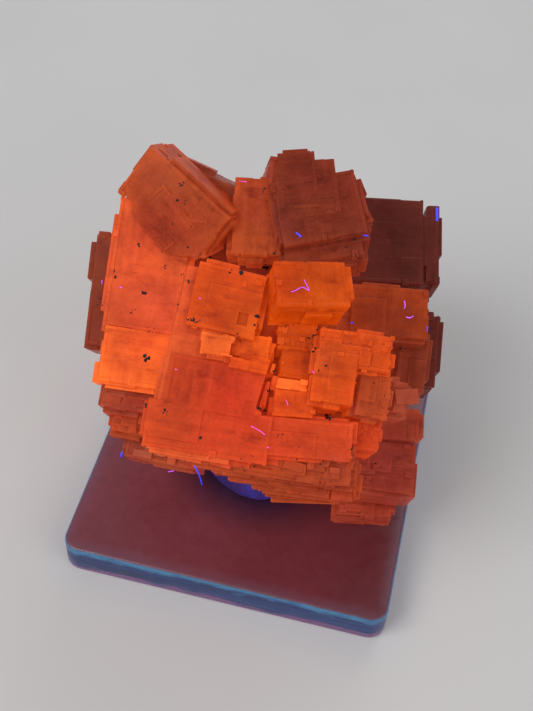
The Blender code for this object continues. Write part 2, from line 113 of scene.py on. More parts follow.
# face: middle of the front face, in mm across, up and out
# size: mm wide, tall and deep behind that face
# turn: degrees of roll in the face's plane, then pitch upwards, then yaw to the right
# steps: ledges round the sides, then terraces on the faces, the front one first
# tint: one of the halite settings, the crystal's colour, partly its own and partly painted shade
Crystal = namedtuple("Crystal", "name face size turn steps tint")
CLUSTER_CRYSTALS = [Crystal(*row) for row in (
    # Top
    ("shoulder_left", (-13.5, 16.75, 10.5), (15.25, 8.5, 8.5), (-40, -14, -15), (6, 0), "rust"),
    ("shoulder_left_foot", (-15.0, 14.8, 9.66), (8.0, 7.0, 12.0), (-52, -14, -15), (4, 0), "rust"),
    ("shoulder_left_sill", (-12.1, 12.3, 9.74), (7.1, 6.0, 10.0), (-4, -14, -15), (3, 0), "rust"),
    ("shoulder_left_back", (-10.0, 19.35, 6.5), (12.75, 5.25, 9.0), (-24, -10, -6), (6, 2), "umber"),
    ("saddle", (-2.0, 15.25, 9.0), (7.6, 11.5, 14.0), (-3, 6, 0), (4, 0), "rust"),
    ("saddle_foot", (-2.5, 11.0, 9.55), (4.5, 3.25, 10.0), (-2, 6, 0), (3, 0), "rust"),
    ("crown", (6.35, 16.2, 11.0), (12.2, 10.2, 11.0), (11, 18, 0), (6, 0), "umber"),
    ("crown_rise", (4.7, 19.0, 10.15), (9.2, 9.2, 10.5), (5, 18, 0), (4, 0), "umber"),
    ("crown_top", (3.5, 20.1, 9.85), (5.9, 9.3, 10.0), (4, 18, 0), (4, 0), "umber"),
    ("crown_corner", (0.6, 21.5, 9.0), (2.75, 4.75, 8.0), (-4, 12, 10), (3, 0), "clay"),
    ("crown_sill", (6.9, 10.3, 11.4), (11.5, 3.2, 8.0), (8, 18, 0), (4, 0), "umber"),
    ("crown_flank", (10.8, 17.2, 9.8), (4.5, 8.0, 9.0), (20, 14, 4), (4, 0), "umber"),
    ("shoulder_right", (16.5, 12.95, 0.0), (12.0, 13.4, 14.0), (-2, 10, 4), (6, 0), "garnet"),
    ("shoulder_right_rim", (23.5, 12.5, -1.0), (2.5, 12.0, 12.0), (-2, 10, 0), (4, 0), "garnet"),
    ("shoulder_right_root", (14.0, 9.75, 0.5), (7.0, 7.25, 10.0), (-2, 8, 4), (4, 0), "garnet"),
    # Sides
    ("lookout", (5.0, 5.25, 19.5), (10.25, 7.0, 6.5), (5, 20, 12), (3, 0), "honey"),
    ("right_shelf", (16.4, 2.25, 6.0), (11.6, 7.75, 14.0), (-4, 8, 4), (5, 1), "russet"),
    ("right_flank", (20.2, -4.9, 2.0), (4.8, 9.4, 14.0), (-8, 10, 0), (4, 1), "umber"),
    ("right_flank_back", (23.2, -3.2, -4.0), (3.8, 11.6, 12.0), (-6, 10, 0), (5, 1), "garnet"),
    ("left_wall", (-17.2, 8.5, 8.6), (10.9, 18.75, 16.0), (-8, 3, 0), (8, 0), "coral"),
    ("left_edge", (-24.5, 5.5, 3.0), (3.75, 16.5, 14.0), (-6, 4, 0), (7, 1), "umber"),
    ("left_block", (-18.35, -4.25, 9.3), (11.2, 8.5, 16.0), (-8, 5, 2), (6, 0), "flame"),
    ("left_step", (-19.3, -9.5, 7.0), (9.6, 5.0, 14.0), (-9, 8, 2), (5, 1), "clay"),
    ("left_foot", (-19.8, -13.0, 4.5), (6.4, 4.75, 12.0), (-11, 8, 2), (5, 0), "rust"),
    ("left_toe", (-15.5, -17.25, 1.0), (12.0, 5.5, 9.0), (-11, 10, 0), (6, 0), "clay"),
    # Front
    ("front_wall", (-9.75, -4.75, 17.2), (9.0, 25.25, 18.0), (-12, 6, 2), (6, 0), "coral"),
    ("brow", (-6.0, 3.25, 17.1), (9.75, 9.25, 18.0), (-13, 6, 3), (7, 2), "amber"),
    ("light_shelf", (-7.25, -2.5, 17.9), (5.0, 3.5, 14.0), (-8, 6, 3), (3, 0), "flame"),
    ("dark_shelf", (-3.0, -2.75, 16.6), (6.0, 4.0, 14.0), (-9, 6, 3), (3, 0), "amber"),
    ("chest", (-7.5, -8.0, 17.75), (13.25, 7.25, 16.0), (-11, 6, 2), (6, 2), "ember"),
    ("chest_rim", (-3.0, -5.25, 17.9), (6.0, 2.25, 12.0), (-12, 6, 2), (3, 0), "amber"),
    ("bench_left", (-8.5, -13.75, 18.3), (17.0, 7.0, 16.0), (-9, 6, 1), (6, 1), "ember"),
    ("bench_right", (4.5, -14.75, 18.0), (12.25, 5.75, 16.0), (-5, 6, 0), (6, 1), "ember"),
    ("skirt_upper", (-0.5, -17.25, 17.0), (22.6, 4.75, 13.0), (-9, 8, 0), (6, 0), "rust"),
    ("skirt_middle", (1.6, -18.5, 15.0), (19.8, 5.0, 13.0), (-8, 8, 0), (6, 0), "rust"),
    ("skirt_lower", (4.35, -20.35, 12.7), (14.8, 5.0, 13.0), (-7, 8, 0), (6, 0), "rust"),
    ("skirt_hem", (5.25, -21.75, 10.2), (13.0, 4.0, 11.0), (-2, 8, 0), (7, 0), "rust"),
    # Small crystals of the front
    ("recess", (3.25, -1.5, 15.4), (5.75, 4.25, 12.0), (-4, 8, 2), (2, 0), "honey"),
    ("dark_cube", (3.25, -5.0, 15.6), (5.25, 5.0, 12.0), (-8, 8, 2), (3, 0), "honey"),
    ("bright_cube", (2.75, -10.25, 17.5), (6.0, 4.25, 12.0), (-5, 8, 2), (3, 1), "amber"),
    ("bright_cube_rim", (2.5, -7.75, 16.9), (4.75, 2.25, 12.0), (-8, 8, 2), (2, 0), "flame"),
    ("middle_cube", (8.0, -6.75, 17.9), (6.25, 7.5, 12.0), (-8, 8, 3), (5, 1), "amber"),
    ("ribbed_shelf", (10.75, -3.25, 16.9), (10.25, 5.5, 12.0), (-8, 8, 4), (6, 1), "amber"),
    ("small_cube", (13.25, -9.25, 15.6), (5.0, 6.5, 12.0), (-10, 8, 5), (4, 1), "rust"),
    ("outer_cube", (17.0, -9.5, 12.5), (3.0, 5.0, 10.0), (-8, 8, 8), (4, 0), "clay"),
    ("crumb_cube", (12.25, -14.75, 13.5), (4.5, 4.5, 12.0), (-8, 10, 2), (3, 0), "ember"),
    # Lower right
    ("right_leg_upper", (18.5, -14.0, -1.0), (7.0, 5.5, 10.0), (-4, 16, 4), (5, 1), "clay"),
    ("right_leg_lower", (16.0, -20.0, 0.0), (10.5, 8.0, 9.0), (-7, 18, 4), (7, 2), "clay"),
    ("right_heel", (14.0, -27.0, -6.0), (9.0, 3.0, 5.0), (-4, 24, 0), (5, 0), "clay"),
    # Back
    ("back_top_left", (-11.0, 12.0, -6.0), (12.0, 11.0, 12.0), (-24, 4, -6), (4, 2), "rust"),
    ("back_top", (1.0, 14.0, -8.0), (12.0, 12.0, 13.0), (-4, -6, 4), (4, 2), "umber"),
    ("back_top_right", (13.0, 12.0, -7.0), (11.0, 11.0, 11.0), (8, 4, 10), (4, 2), "garnet"),
    ("back_left", (-15.0, 1.0, -8.0), (12.0, 12.0, 11.0), (-8, 8, -8), (4, 2), "coral"),
    ("back_middle", (-2.0, 2.0, -13.0), (13.0, 12.0, 11.0), (12, -4, 0), (4, 2), "rust"),
    ("back_right", (12.0, 1.0, -10.0), (12.0, 12.0, 12.0), (-6, 6, 8), (4, 2), "umber"),
    ("back_low_left", (-11.0, -11.0, -7.0), (12.0, 10.0, 9.0), (-12, 8, -4), (4, 2), "rust"),
    ("back_low", (1.0, -10.0, -9.0), (12.0, 11.0, 10.0), (6, 4, 0), (4, 2), "coral"),
    ("back_low_right", (12.0, -11.0, -8.0), (11.0, 10.0, 9.0), (-6, 8, 6), (4, 2), "umber"),
    # Small crystals of the back
    ("knob_upper_left", (-5.0, 8.0, -17.0), (7.0, 7.0, 7.0), (-18, -8, 10), (3, 2), "amber"),
    ("knob_upper_right", (7.0, 8.0, -16.0), (6.0, 7.0, 7.0), (14, 4, -8), (3, 2), "rust"),
    ("knob_left", (-9.0, -4.0, -15.0), (7.0, 6.0, 7.0), (5, -6, -12), (3, 2), "coral"),
    ("knob_right", (6.0, -4.0, -17.0), (7.0, 7.0, 7.0), (-20, 6, 6), (3, 2), "amber"),
    ("knob_low", (-4.0, -11.0, -15.0), (6.0, 6.0, 5.0), (-6, 4, -4), (3, 1), "rust"),
    ("knob_far_right", (16.0, 7.0, -11.0), (6.0, 6.0, 8.0), (10, 0, 14), (3, 2), "umber"),
    ("knob_far_left", (-19.0, 7.0, -8.0), (6.0, 6.0, 9.0), (-14, 4, -10), (3, 2), "rust"),
    ("knob_top", (-3.0, 19.0, -7.0), (8.0, 6.0, 9.0), (10, -10, -10), (3, 2), "umber"),
    ("knob_top_right", (8.0, 19.0, -5.0), (7.0, 6.0, 9.0), (-6, -4, 6), (3, 1), "umber"),
    ("knob_flank", (18.0, -7.0, -10.0), (6.0, 6.0, 7.0), (-12, 6, 12), (3, 2), "garnet"),
    # Middle of the cluster
    ("core", (-2.0, -5.0, 8.0), (26.0, 22.0, 22.0), (-8, 8, 4), (0, 0), "rust"),
    ("core_top", (-1.0, 8.0, 2.0), (22.0, 14.0, 17.0), (-4, 6, 2), (0, 0), "umber"),
)]

# Square pits that the crystals kept, laid out as crystals are
PITS = (
    Crystal("brow_pit", (-3.9, 0.85, 17.9), (1.4, 1.7, 0.85), (-12, 6, 3), (0, 0), "rust"),
    Crystal("shelf_pit", (-4.9, -3.1, 18.4), (1.2, 1.7, 1.6), (-9, 6, 3), (0, 0), "rust"),
    Crystal("chest_crack", (-0.75, -6.6, 18.6), (0.4, 8.4, 3.6), (-17, 6, 2), (0, 0), "rust"),
)

# The four sides of a crystal, and its front and back: the axis across each, and which end of it
SIDES = ((0, -1), (0, 1), (1, -1), (1, 1))
FRONT_AND_BACK = ((2, 1), (2, -1))

# Fine growth on each crystal: how many per mm of edge or per square mm of face, and sizes in mm
FINE_SEED = 11
FINE_LEDGES_PER_MM = 0.9
FINE_LEDGE_SPAN = (0.4, 3.2)
# The longest fine ledge as a share of the side that it lies on
FINE_LEDGE_MOST = 0.8
FINE_LEDGE_RISE = (0.02, 0.26)
FINE_LEDGE_SETBACK = (0.0, 2.6)
FINE_LEDGE_DEPTH = (0.5, 4.5)
PLATES_PER_SQUARE_MM = 0.05
MOST_PLATES = 4
PLATE_CUT = (0.25, 0.85)
PLATE_RISE = (0.01, 0.05)
PLATE_ROOT = 0.4
CUBELETS_PER_MM = 0.05
CUBELET_SIZE = (0.25, 0.9)
# Half a small cube's edge as a share of its size, and how far its middle lies below the face
CUBELET_HALF = (0.35, 0.65)
CUBELET_SUNK = (0.1, 0.45)
# The same for crumbs, which are sunk by shares of their half height
CRUMB_SIZE = (0.35, 1.0)
CRUMB_HALF = (0.3, 0.6)
CRUMB_SUNK = (0.3, 0.9)
# Rough crystals, and how many crumbs stand on the front of each
CRUMBS = {"skirt_upper": 44, "skirt_middle": 40, "skirt_lower": 34, "skirt_hem": 30, "recess": 22,
          "ribbed_shelf": 22, "brow": 7, "crumb_cube": 14, "outer_cube": 6, "small_cube": 6,
          "left_step": 12, "left_foot": 12, "left_toe": 10, "right_leg_lower": 8}
# Blocky lumps that break up the long steps, and how many stand on the front of each crystal
LUMP_WIDE = (0.9, 3.8)
LUMP_TALL = (0.7, 2.4)
LUMP_PROUD = (0.08, 0.8)
LUMP_ROOT = 2.5
LUMP_DROP = 0.5
LUMPS = {"skirt_upper": 26, "skirt_middle": 30, "skirt_lower": 26, "skirt_hem": 22, "left_step": 9,
         "left_foot": 8, "left_toe": 10, "right_leg_lower": 4, "right_leg_upper": 2,
         "ribbed_shelf": 3, "right_heel": 5, "outer_cube": 3}
# Spread of the small turns that crumbs and lumps stand at, in degrees
ROUGH_TILT = 8.0
CHAMFER_MAIN = 0.09 * MM
CHAMFER_FINE = 0.04 * MM

# Base: its rounded corners, and its softened upper and lower edges
BASE_CORNER_RADIUS = 2.7 * MM
BASE_CORNER_SEGMENTS = 16
BASE_EDGE_ROUND = 0.6 * MM
BASE_EDGE_SEGMENTS = 5
BASE_SHARP_ANGLE = math.radians(30)

# Mounting putty, as in the solids
PUTTY_CENTRE = Vector((0.5, 0.8)) * MM
PUTTY_FOOT_RADIUS = 10.6 * MM
PUTTY_HEIGHT = 8.5 * MM
PUTTY_LUMP = 0.5 * MM
# Lumps round the blob: how many, how strong, and where they start in radians
PUTTY_LUMPS = ((3, 1.0, 0.6), (5, 0.6, 2.0))
# How square the blob's side is, how far its foot draws in, and how quickly that ends upwards
PUTTY_SQUARENESS = 3.6
PUTTY_FOOT_DRAW = 0.06
PUTTY_FOOT_CURL = 8
# Small ripples on the side, in turns per mm
PUTTY_RIPPLES = 0.35
PUTTY_SHARP_ANGLE = math.radians(40)
# How far the putty's painted shadow reaches on the base, in mm
PUTTY_SHADOW_REACH = 6.5
PUTTY_RINGS = 22
PUTTY_SIDES = 96

# Lint: where each fibre lies in the picture, in pixels, and how thick and which colour it is
Fibre = namedtuple("Fibre", "pixels thickness dye")
FIBRES = [Fibre(*row) for row in (
    (((291, 292), (296, 291), (299, 288), (303, 287), (306, 289), (309, 291)), 0.12, "violet"),
    (((304, 280), (306, 284), (309, 290)), 0.11, "violet"),
    (((251, 426), (256, 429), (261, 431), (265, 435)), 0.14, "pink"),
    (((435, 204), (437, 208), (437, 214), (437, 221)), 0.36, "blue"),
    (((404, 301), (406, 305), (404, 309)), 0.16, "violet"),
    (((406, 317), (410, 319), (413, 316)), 0.16, "violet"),
    (((296, 233), (299, 235), (301, 237)), 0.22, "blue"),
    (((364, 235), (368, 236)), 0.22, "blue"),
    (((363, 185), (365, 181)), 0.2, "pink"),
    (((351, 323), (353, 323)), 0.22, "blue"),
    (((286, 400), (288, 405)), 0.14, "pink"),
    (((121, 457), (122, 452)), 0.26, "blue"),
    (((168, 472), (174, 471)), 0.17, "violet"),
    (((195, 466), (199, 473), (201, 480), (202, 485)), 0.22, "blue"),
    (((102, 280), (102, 284)), 0.13, "violet"),
    (((120, 287), (122, 288)), 0.14, "violet"),
    (((175, 369), (177, 370)), 0.14, "pink"),
    (((199, 298), (201, 299)), 0.14, "pink"),
    (((267, 447), (269, 448)), 0.14, "pink"),
    (((312, 371), (314, 373)), 0.14, "pink"),
    (((427, 327), (427, 331)), 0.16, "blue"),
    (((239, 181), (247, 182)), 0.12, "pink"),
)]

# Dark grains on the crystals: where each group lies in the picture, how wide it is in pixels,
# how many grains it has, and how large they are in mm
Grains = namedtuple("Grains", "pixel reach count size")
GRAINS = [Grains(*row) for row in (
    ((147, 358), 4, 7, 0.6), ((193, 319), 6, 11, 0.34), ((258, 317), 2.5, 4, 0.6),
    ((257, 325), 4, 4, 0.35), ((257, 333), 3, 3, 0.3), ((242, 272), 3, 4, 0.6),
    ((231, 271), 2, 2, 0.35), ((265, 268), 3, 5, 0.7), ((329, 417), 4, 7, 0.55),
    ((275, 370), 2, 3, 0.4), ((268, 390), 2, 3, 0.4), ((258, 408), 3, 4, 0.5), ((266, 410), 3, 4, 0.4),
    ((315, 335), 3, 4, 0.45), ((318, 328), 2, 3, 0.4), ((311, 338), 3, 3, 0.35),
    ((314, 346), 4, 6, 0.35), ((313, 352), 1, 2, 0.35), ((286, 327), 4, 4, 0.35),
    ((326, 366), 1.5, 2, 0.45), ((318, 369), 1, 1, 0.4), ((356, 379), 3, 3, 0.4),
    ((357, 390), 2, 2, 0.4), ((182, 184), 3, 4, 0.4), ((178, 201), 2, 3, 0.4), ((185, 204), 4, 4, 0.3),
    ((173, 223), 2, 2, 0.4), ((192, 226), 1, 1, 0.35), ((188, 248), 1, 1, 0.35),
    ((201, 256), 3, 3, 0.3), ((210, 258), 3, 4, 0.5), ((138, 246), 3, 3, 0.4), ((115, 277), 4, 4, 0.4),
    ((165, 267), 2, 3, 0.4), ((183, 274), 1.5, 2, 0.45), ((144, 293), 2, 5, 0.45),
    ((130, 312), 2, 2, 0.35), ((136, 309), 1, 1, 0.4), ((264, 190), 2, 3, 0.45),
    ((275, 253), 3, 4, 0.35), ((347, 247), 1.5, 2, 0.5), ((355, 240), 2, 2, 0.4),
    ((145, 405), 3, 3, 0.35), ((165, 413), 4, 5, 0.35), ((201, 438), 1, 1, 0.45),
    ((280, 435), 6, 5, 0.3), ((352, 448), 2, 3, 0.4), ((400, 348), 5, 5, 0.4), ((188, 282), 2, 3, 0.4),
    ((180, 305), 2, 3, 0.35), ((357, 257), 3, 3, 0.3), ((100, 300), 6, 6, 0.25),
    ((240, 335), 8, 5, 0.22), ((150, 330), 12, 6, 0.22), ((300, 455), 20, 8, 0.25),
    ((330, 475), 18, 8, 0.25), ((250, 465), 18, 8, 0.25), ((345, 330), 12, 8, 0.25),
    ((380, 385), 14, 8, 0.25), ((370, 470), 16, 6, 0.25),
)]
# Soft patches of colour in the crystals, partly their own colour and partly painted light and shade:
# where each lies in the picture, how far it reaches in mm, which kind it is and how strong it is
Patch = namedtuple("Patch", "pixel reach kind share")
PATCHES = [Patch(*row) for row in (
    ((257, 345), 5.0, "bright", 0.8), ((240, 300), 4.0, "bright", 0.25),
    ((110, 392), 5.0, "bright", 0.3), ((150, 262), 5.5, "bright", 0.25),
    ((206, 214), 5.0, "bright", 0.45), ((325, 398), 3.5, "bright", 0.5),
    ((325, 300), 3.0, "bright", 0.2), ((290, 385), 2.5, "bright", 0.35),
    ((315, 278), 3.0, "pale", 0.15), ((255, 240), 4.0, "bright", 0.5), ((323, 358), 3.0, "pale", 0.7),
    ((353, 410), 1.5, "pale", 0.9), ((339, 462), 1.5, "pale", 0.8), ((160, 172), 5.0, "pale", 0.2),
    ((165, 300), 5.0, "pale", 0.25), ((385, 462), 5.0, "pale", 0.3), ((225, 402), 7.5, "ruddy", 0.9),
    ((275, 447), 6.5, "ruddy", 0.6), ((400, 490), 6.0, "ruddy", 0.3), ((237, 283), 4.0, "ruddy", 0.35),
    ((310, 165), 4.0, "dark", 0.4), ((158, 222), 5.0, "dark", 0.35), ((428, 237), 3.0, "dark", 0.5),
    ((388, 212), 3.0, "dark", 0.35), ((238, 205), 3.0, "dark", 0.35), ((243, 319), 1.6, "dark", 0.4),
    ((102, 246), 2.6, "dusk", 0.8), ((94, 285), 4.0, "dark", 0.3), ((276, 222), 5.0, "dusk", 0.8),
    ((360, 240), 4.5, "dusk", 0.6), ((400, 338), 5.0, "dusk", 0.6), ((170, 458), 5.0, "bright", 0.5),
    ((335, 480), 6.0, "dusk", 0.45), ((278, 345), 2.6, "dark", 0.4), ((305, 437), 2.4, "dark", 0.45),
    ((200, 190), 4.5, "dark", 0.55), ((278, 374), 2.6, "dark", 0.35),
)]
# What each kind of patch multiplies red, green and blue by
PATCH_KINDS = {"bright": (1.5, 1.95, 1.0), "pale": (1.25, 1.7, 3.5), "ruddy": (1.15, 0.72, 1.0),
               "dark": (0.5, 0.38, 0.5), "dusk": (0.5, 0.42, 1.3)}
# How uneven the patches' outlines are, in mm, and the share of the reach with full strength
PATCH_WANDER = 4.0
PATCH_CORE = 0.2

# Dirt on the sides that the picture doesn't show
DIRT_SEED = 5
HIDDEN_GRAINS = 90
HIDDEN_GRAIN_SIZE = (0.15, 0.5)
HIDDEN_FIBRES = 7
HIDDEN_FIBRE_LENGTH = 1.9 * MM
HIDDEN_FIBRE_KNOTS = 5
HIDDEN_FIBRE_RADIUS = (0.07, 0.1)
HIDDEN_FIBRE_CURL = 1.3
# Where it comes from: its heading in degrees, 0 at the right and 90 at the back, its climb in degrees,
# how far out in metres, and how far from the cluster's middle it aims in mm
HIDDEN_HEADING = (20, 200)
HIDDEN_CLIMB = (-10, 60)
HIDDEN_DISTANCE = 0.1
HIDDEN_AIM = 14
# How far a fibre's middle line lies above what carries it
FIBRE_LIFT = 0.06 * MM
# How round a fibre is, and how finely it bends
FIBRE_ROUNDNESS = 2
FIBRE_SMOOTHNESS = 6
# A grain's half width and half height, the unevenness of its corners, and its spread of sizes
GRAIN_HALF = (0.35, 0.6)
GRAIN_HEIGHT = 0.2
GRAIN_UNEVEN = 0.1
GRAIN_SPREAD = (0.45, 1.15)
# How far a grain may be spun, in radians
GRAIN_SPIN = 6.3

# Each crystal's own place in the noises lies up to this many mm away
GRAIN_SHIFT = 50

# Noises of the materials: turns per mm, detail, roughness and distortion, and below some of them
# the part of the noise that is used
CLOUD = (0.11, 2.0, 0.5, 0.6)
MOTTLE = (0.6, 4.0, 0.62, 0.3)
FINE = (2.8, 4.0, 0.65)
STREAK = (1.0, 4.0, 0.62)
STREAK_TURN = (0.07, 1.0)
TURN_USED = (0.46, 0.54)
RUDDY = (0.085, 1.0)
RUDDY_USED = (0.42, 0.62)
WANDER = (0.35, 3.0, 0.6)
GRIME_AREA = (0.2, 2.0, 0.5)
GRIME_AREA_USED = (0.5, 0.66)
GRIME_DOTS = (3.2, 3.0, 0.6)
GRIME_DOTS_USED = (0.64, 0.69)
PUTTY_SWELL = (0.35, 3.0, 0.55)
PUTTY_PORES = (2.4, 3.0, 0.6)
PUTTY_STREAK = (0.32, 2.0, 0.5, 0.8)
SLAB_CLOUD = (0.06, 3.0, 0.5)
SLAB_SMUDGE = (0.5, 4.0, 0.6)
SLAB_RAGGED = (1.0, 4.0, 0.65)
SLAB_BANDS = (1.0, 3.0, 0.6)
SLAB_WAVES = (0.25, 1.0)
LINT_UNEVEN = (1.5, 2.0, 0.5)
GRAIN_MOTTLE = (4.0, 3.0, 0.6)
FLOOR_DUST = (0.02, 2.0)
# How the noises are stretched along the three axes
LEVEL_STRETCH = (0.09, 1.0, 0.35)
UPRIGHT_STRETCH = (1.0, 0.09, 0.35)
SMUDGE_STRETCH = (0.16, 0.42, 0.3)
PUTTY_STRETCH = (1.0, 1.0, 0.25)
LINE_STRETCH = (0.22, 0.22, 0.9)
BAND_STRETCH = (0.05, 0.05, 1.4)
GLINT_PATCH_STRETCH = (0.3, 0.3, 1.0)
# The part of a noise that is used where no other is named
USED = (0.3, 0.7)

# Light in the salt: the part of each noise that is used, and how much light it adds
CLOUD_LIGHT = (0.32, 0.68, 0.34)
MOTTLE_LIGHT = (*USED, 0.28)
STREAK_LIGHT = (0.34, 0.66, 0.22)
FINE_LIGHT = (0.32, 0.68, 0.16)
# More painted light where the salt is thin, as if light passed through its edges, and less in its
# smudges
THIN_LIGHT = (0.95, 0.35, -0.08, 0.3)
SMUDGE_LIGHT = -0.32
SMUDGE_USED = (0.57, 0.7)
THIN_REACH = 2.2 * MM
# What the salt's tint is multiplied by, from the dark places to the light ones
DARK_SALT = (0.5, 0.34, 0.4)
LIGHT_SALT = (1.38, 1.62, 1.4)
RUDDY_SALT = (1.0, 0.86, 1.0)
# Painted highlights on the edges: how wide, how sharp, what they add, and how evenly
RIM_RADIUS = 0.14 * MM
RIM_FOLD = (0.975, 0.8)
RIM_HIGHLIGHT_GAIN = (0.13, 0.036, 0.016)
RIM_HIGHLIGHT_SHARE = (*USED, 0.15, 0.75)
# Painted shade in creases: how far the creases reach, how closed they are, and what darkens them
CREASE_REACH = 1.1 * MM
CREASE_OPEN = (0.25, 0.8)
CREASE_SHADE = (0.46, 0.3, 0.3)
# Grime, and how much of it lies on open faces and in creases
GRIME_COLOUR = (0.028, 0.007, 0.004)
GRIME_OPEN = (0.8, 0.4, 0.45, 1.0)
OPENNESS_SAMPLES = 2
BEVEL_SAMPLES = 3
# The salt's body colour as a share of its glow's colour, dimmer so that its painted glow outweighs the
# light that falls on it
BODY_SALT = (0.74, 0.74, 0.7)
SALT_IOR = 1.544
SALT_GLOSS = 0.3
SALT_GLOSS_TINT = (1.0, 0.62, 0.4, 1.0)
SALT_ROUGHNESS = (*USED, 0.34, 0.52)
# The colour that passes through the salt, and how strongly it takes the rest
SALT_PASSED = (0.95, 0.42, 0.12, 1.0)
SALT_DENSITY = 60.0
STREAK_RIPPLE = 0.6
FINE_RIPPLE = 0.5
# A bump's depth and strength
SALT_BUMP = (0.09 * MM, 0.5)

PUTTY_STREAK_SHARE = (0.5, 0.72, 0.0, 0.7)
PUTTY_SHADE = (*USED, 0.82, 1.15)
PUTTY_ROUGHNESS = (*USED, 0.5, 0.7)
PUTTY_BUMP = (0.12 * MM, 0.6)
# Painted glow of the putty, which is no lamp
PUTTY_GLOW = 0.3

# Base: how much darker its top gets by its clouds, and towards the right as painted shade
CLOUD_DUSK = 0.45
ACROSS_DUSK = 0.6
SLAB_SHADE = (*USED, 0.93, 1.08)
BAND_SHADE = (0.36, 0.64, 0.7, 1.6)
# Where its sides' painted glint and pink reflection lines lie, as shares of its thickness, and how far
# they waver
LINE_WAVER = 0.22
GLINT_LINE = (0.88, 1.08)
FOOT_LINE = (0.3, 0.42)
# Painted glint in patches on the upper part of the sides
GLINT_PATCHES_USED = (0.54, 0.64)
GLINT_PATCHES_HIGH = (0.6, 0.95)
TOP_WAVER = 0.3
TOP_FACING = (0.72, 0.98)
# Painted glint wisps and a painted pale sheen along the rim of the top
GLINT_WISP_WAVER = -4.0
GLINT_WISP_SHARE = (-1.1, -1.5, 0.0, 0.8)
RIM_SHEEN_WAVER = -2.0
RIM_SHEEN_SHARE = (1.4, -0.6, 0.0, 0.45)
ACRYLIC_ROUGHNESS = (*USED, 0.22, 0.4)
ACRYLIC_BUMP = (0.03 * MM, 0.3)
ACRYLIC_IOR = 1.49
ACRYLIC_CLEARNESS = 0.35
# Painted glow of the base, which is no lamp
ACRYLIC_GLOW = 0.2
# What the putty's painted shadow multiplies the base's colour by, and how strong it is
PUTTY_SHADOW_DARKNESS = (0.2, 0.36, 0.8)
PUTTY_SHADOW_SHARE = 0.9

LINT_SHADE = (*USED, 0.75, 1.2)
LINT_ROUGHNESS = 0.7
GRAIN_SHADE = (*USED, 0.4, 1.4)
GRAIN_ROUGHNESS = (*USED, 0.45, 0.75)

# Stage: half the floor's side in metres, and the nearest distance that the camera sees
FLOOR_HALF = 2.0
NEAREST_SEEN = 0.01
FLOOR_SHADE = (*USED, 0.98, 1.02)
FLOOR_ROUGHNESS = 0.9
BACKDROP = (0.85, 0.87, 0.9, 1.0)
BACKDROP_SHARE = 0.5
# Each soft light: its name, its place, how wide it is and its power
SOFT_LIGHTS = (
    ("key", (-0.35, -0.35, 0.55), 0.4, 3.2),
    ("fill", (0.5, -0.25, 0.4), 0.5, 1.2),
    ("back", (0.1, 0.55, 0.45), 0.4, 1.2),
)


def tone(red, green, blue):
    """Turn screen values from 0 to 255 into the linear colour that a material takes."""
    shares = [value / 255 for value in (red, green, blue)]
    return tuple(share / 12.92 if share < 0.04045 else ((share + 0.055) / 1.055) ** 2.4
                 for share in shares)


def colour_setting(name, description, default):
    """Return a colour property."""
    return bpy.props.FloatVectorProperty(name=name, description=description, default=default,
                                         subtype="COLOR", size=3, min=0.0, max=1.0)


class HaliteSettings(bpy.types.PropertyGroup):
    """Colours of the halite cluster, partly painted shade, with its painted glow and its clearness."""
    flame: colour_setting("Flame", "Brightest orange crystals", tone(226, 98, 38))
    ember: colour_setting("Ember", "Red orange crystals of the front", tone(190, 62, 26))
    coral: colour_setting("Coral", "Rosy orange crystals", tone(204, 80, 38))
    amber: colour_setting("Amber", "Orange crystals of the middle", tone(192, 68, 16))
    honey: colour_setting("Honey", "Yellow orange crystals", tone(182, 64, 5))
    rust: colour_setting("Rust", "Brownish orange crystals", tone(162, 61, 28))
    clay: colour_setting("Clay", "Dull rosy brown crystals", tone(144, 55, 38))
    russet: colour_setting("Russet", "Brown orange crystals of the right side", tone(144, 49, 18))
    umber: colour_setting("Umber", "Dark red brown crystals", tone(124, 45, 27))
    garnet: colour_setting("Garnet", "Darkest red crystals", tone(84, 28, 26))
    # Painted glow: the crystals give their own light, though they are no lamp
    glow: bpy.props.FloatProperty(name="Glow", description="Strength of the crystals' own light",
                                  default=0.64, min=0.0, max=3.0)
    clearness: bpy.props.FloatProperty(name="Clearness", description="Share of light that passes",
                                       default=0.4, min=0.0, max=1.0, subtype="FACTOR")


class PuttySettings(bpy.types.PropertyGroup):
    """Colour and form of the mounting putty."""
    body: colour_setting("Putty", "Colour of the putty", tone(58, 38, 104))
    streak: colour_setting("Streak", "Brighter streaks in the putty", tone(66, 58, 170))
    lump: bpy.props.FloatProperty(name="Lumps", description="Height of the small lumps on the putty",
                                  default=0.3 * MM, min=0.0, subtype="DISTANCE", unit="LENGTH")


class BaseSettings(bpy.types.PropertyGroup):
    """Colours of the acrylic base, partly painted light and shade."""
    # The top's rose is partly a painted reflection of the crystals' glow, and its darker side is painted
    # shade; the edges' slate blue is painted light, the pale line a painted glint, the rim band a
    # painted sheen and the pink line a painted reflection
    top: colour_setting("Top", "Dusky rose colour of the top", tone(132, 66, 76))
    dusk: colour_setting("Dusk", "Darker side of the top", tone(104, 42, 48))
    edge: colour_setting("Edge", "Slate blue of the edges", tone(30, 55, 108))
    glint: colour_setting("Glint", "Pale line along the upper edges", tone(76, 142, 186))
    rim_sheen: colour_setting("Haze", "Pale haze along the rim of the top", tone(120, 92, 112))
    foot: colour_setting("Foot", "Pinkish line along the lower edges", tone(128, 82, 132))


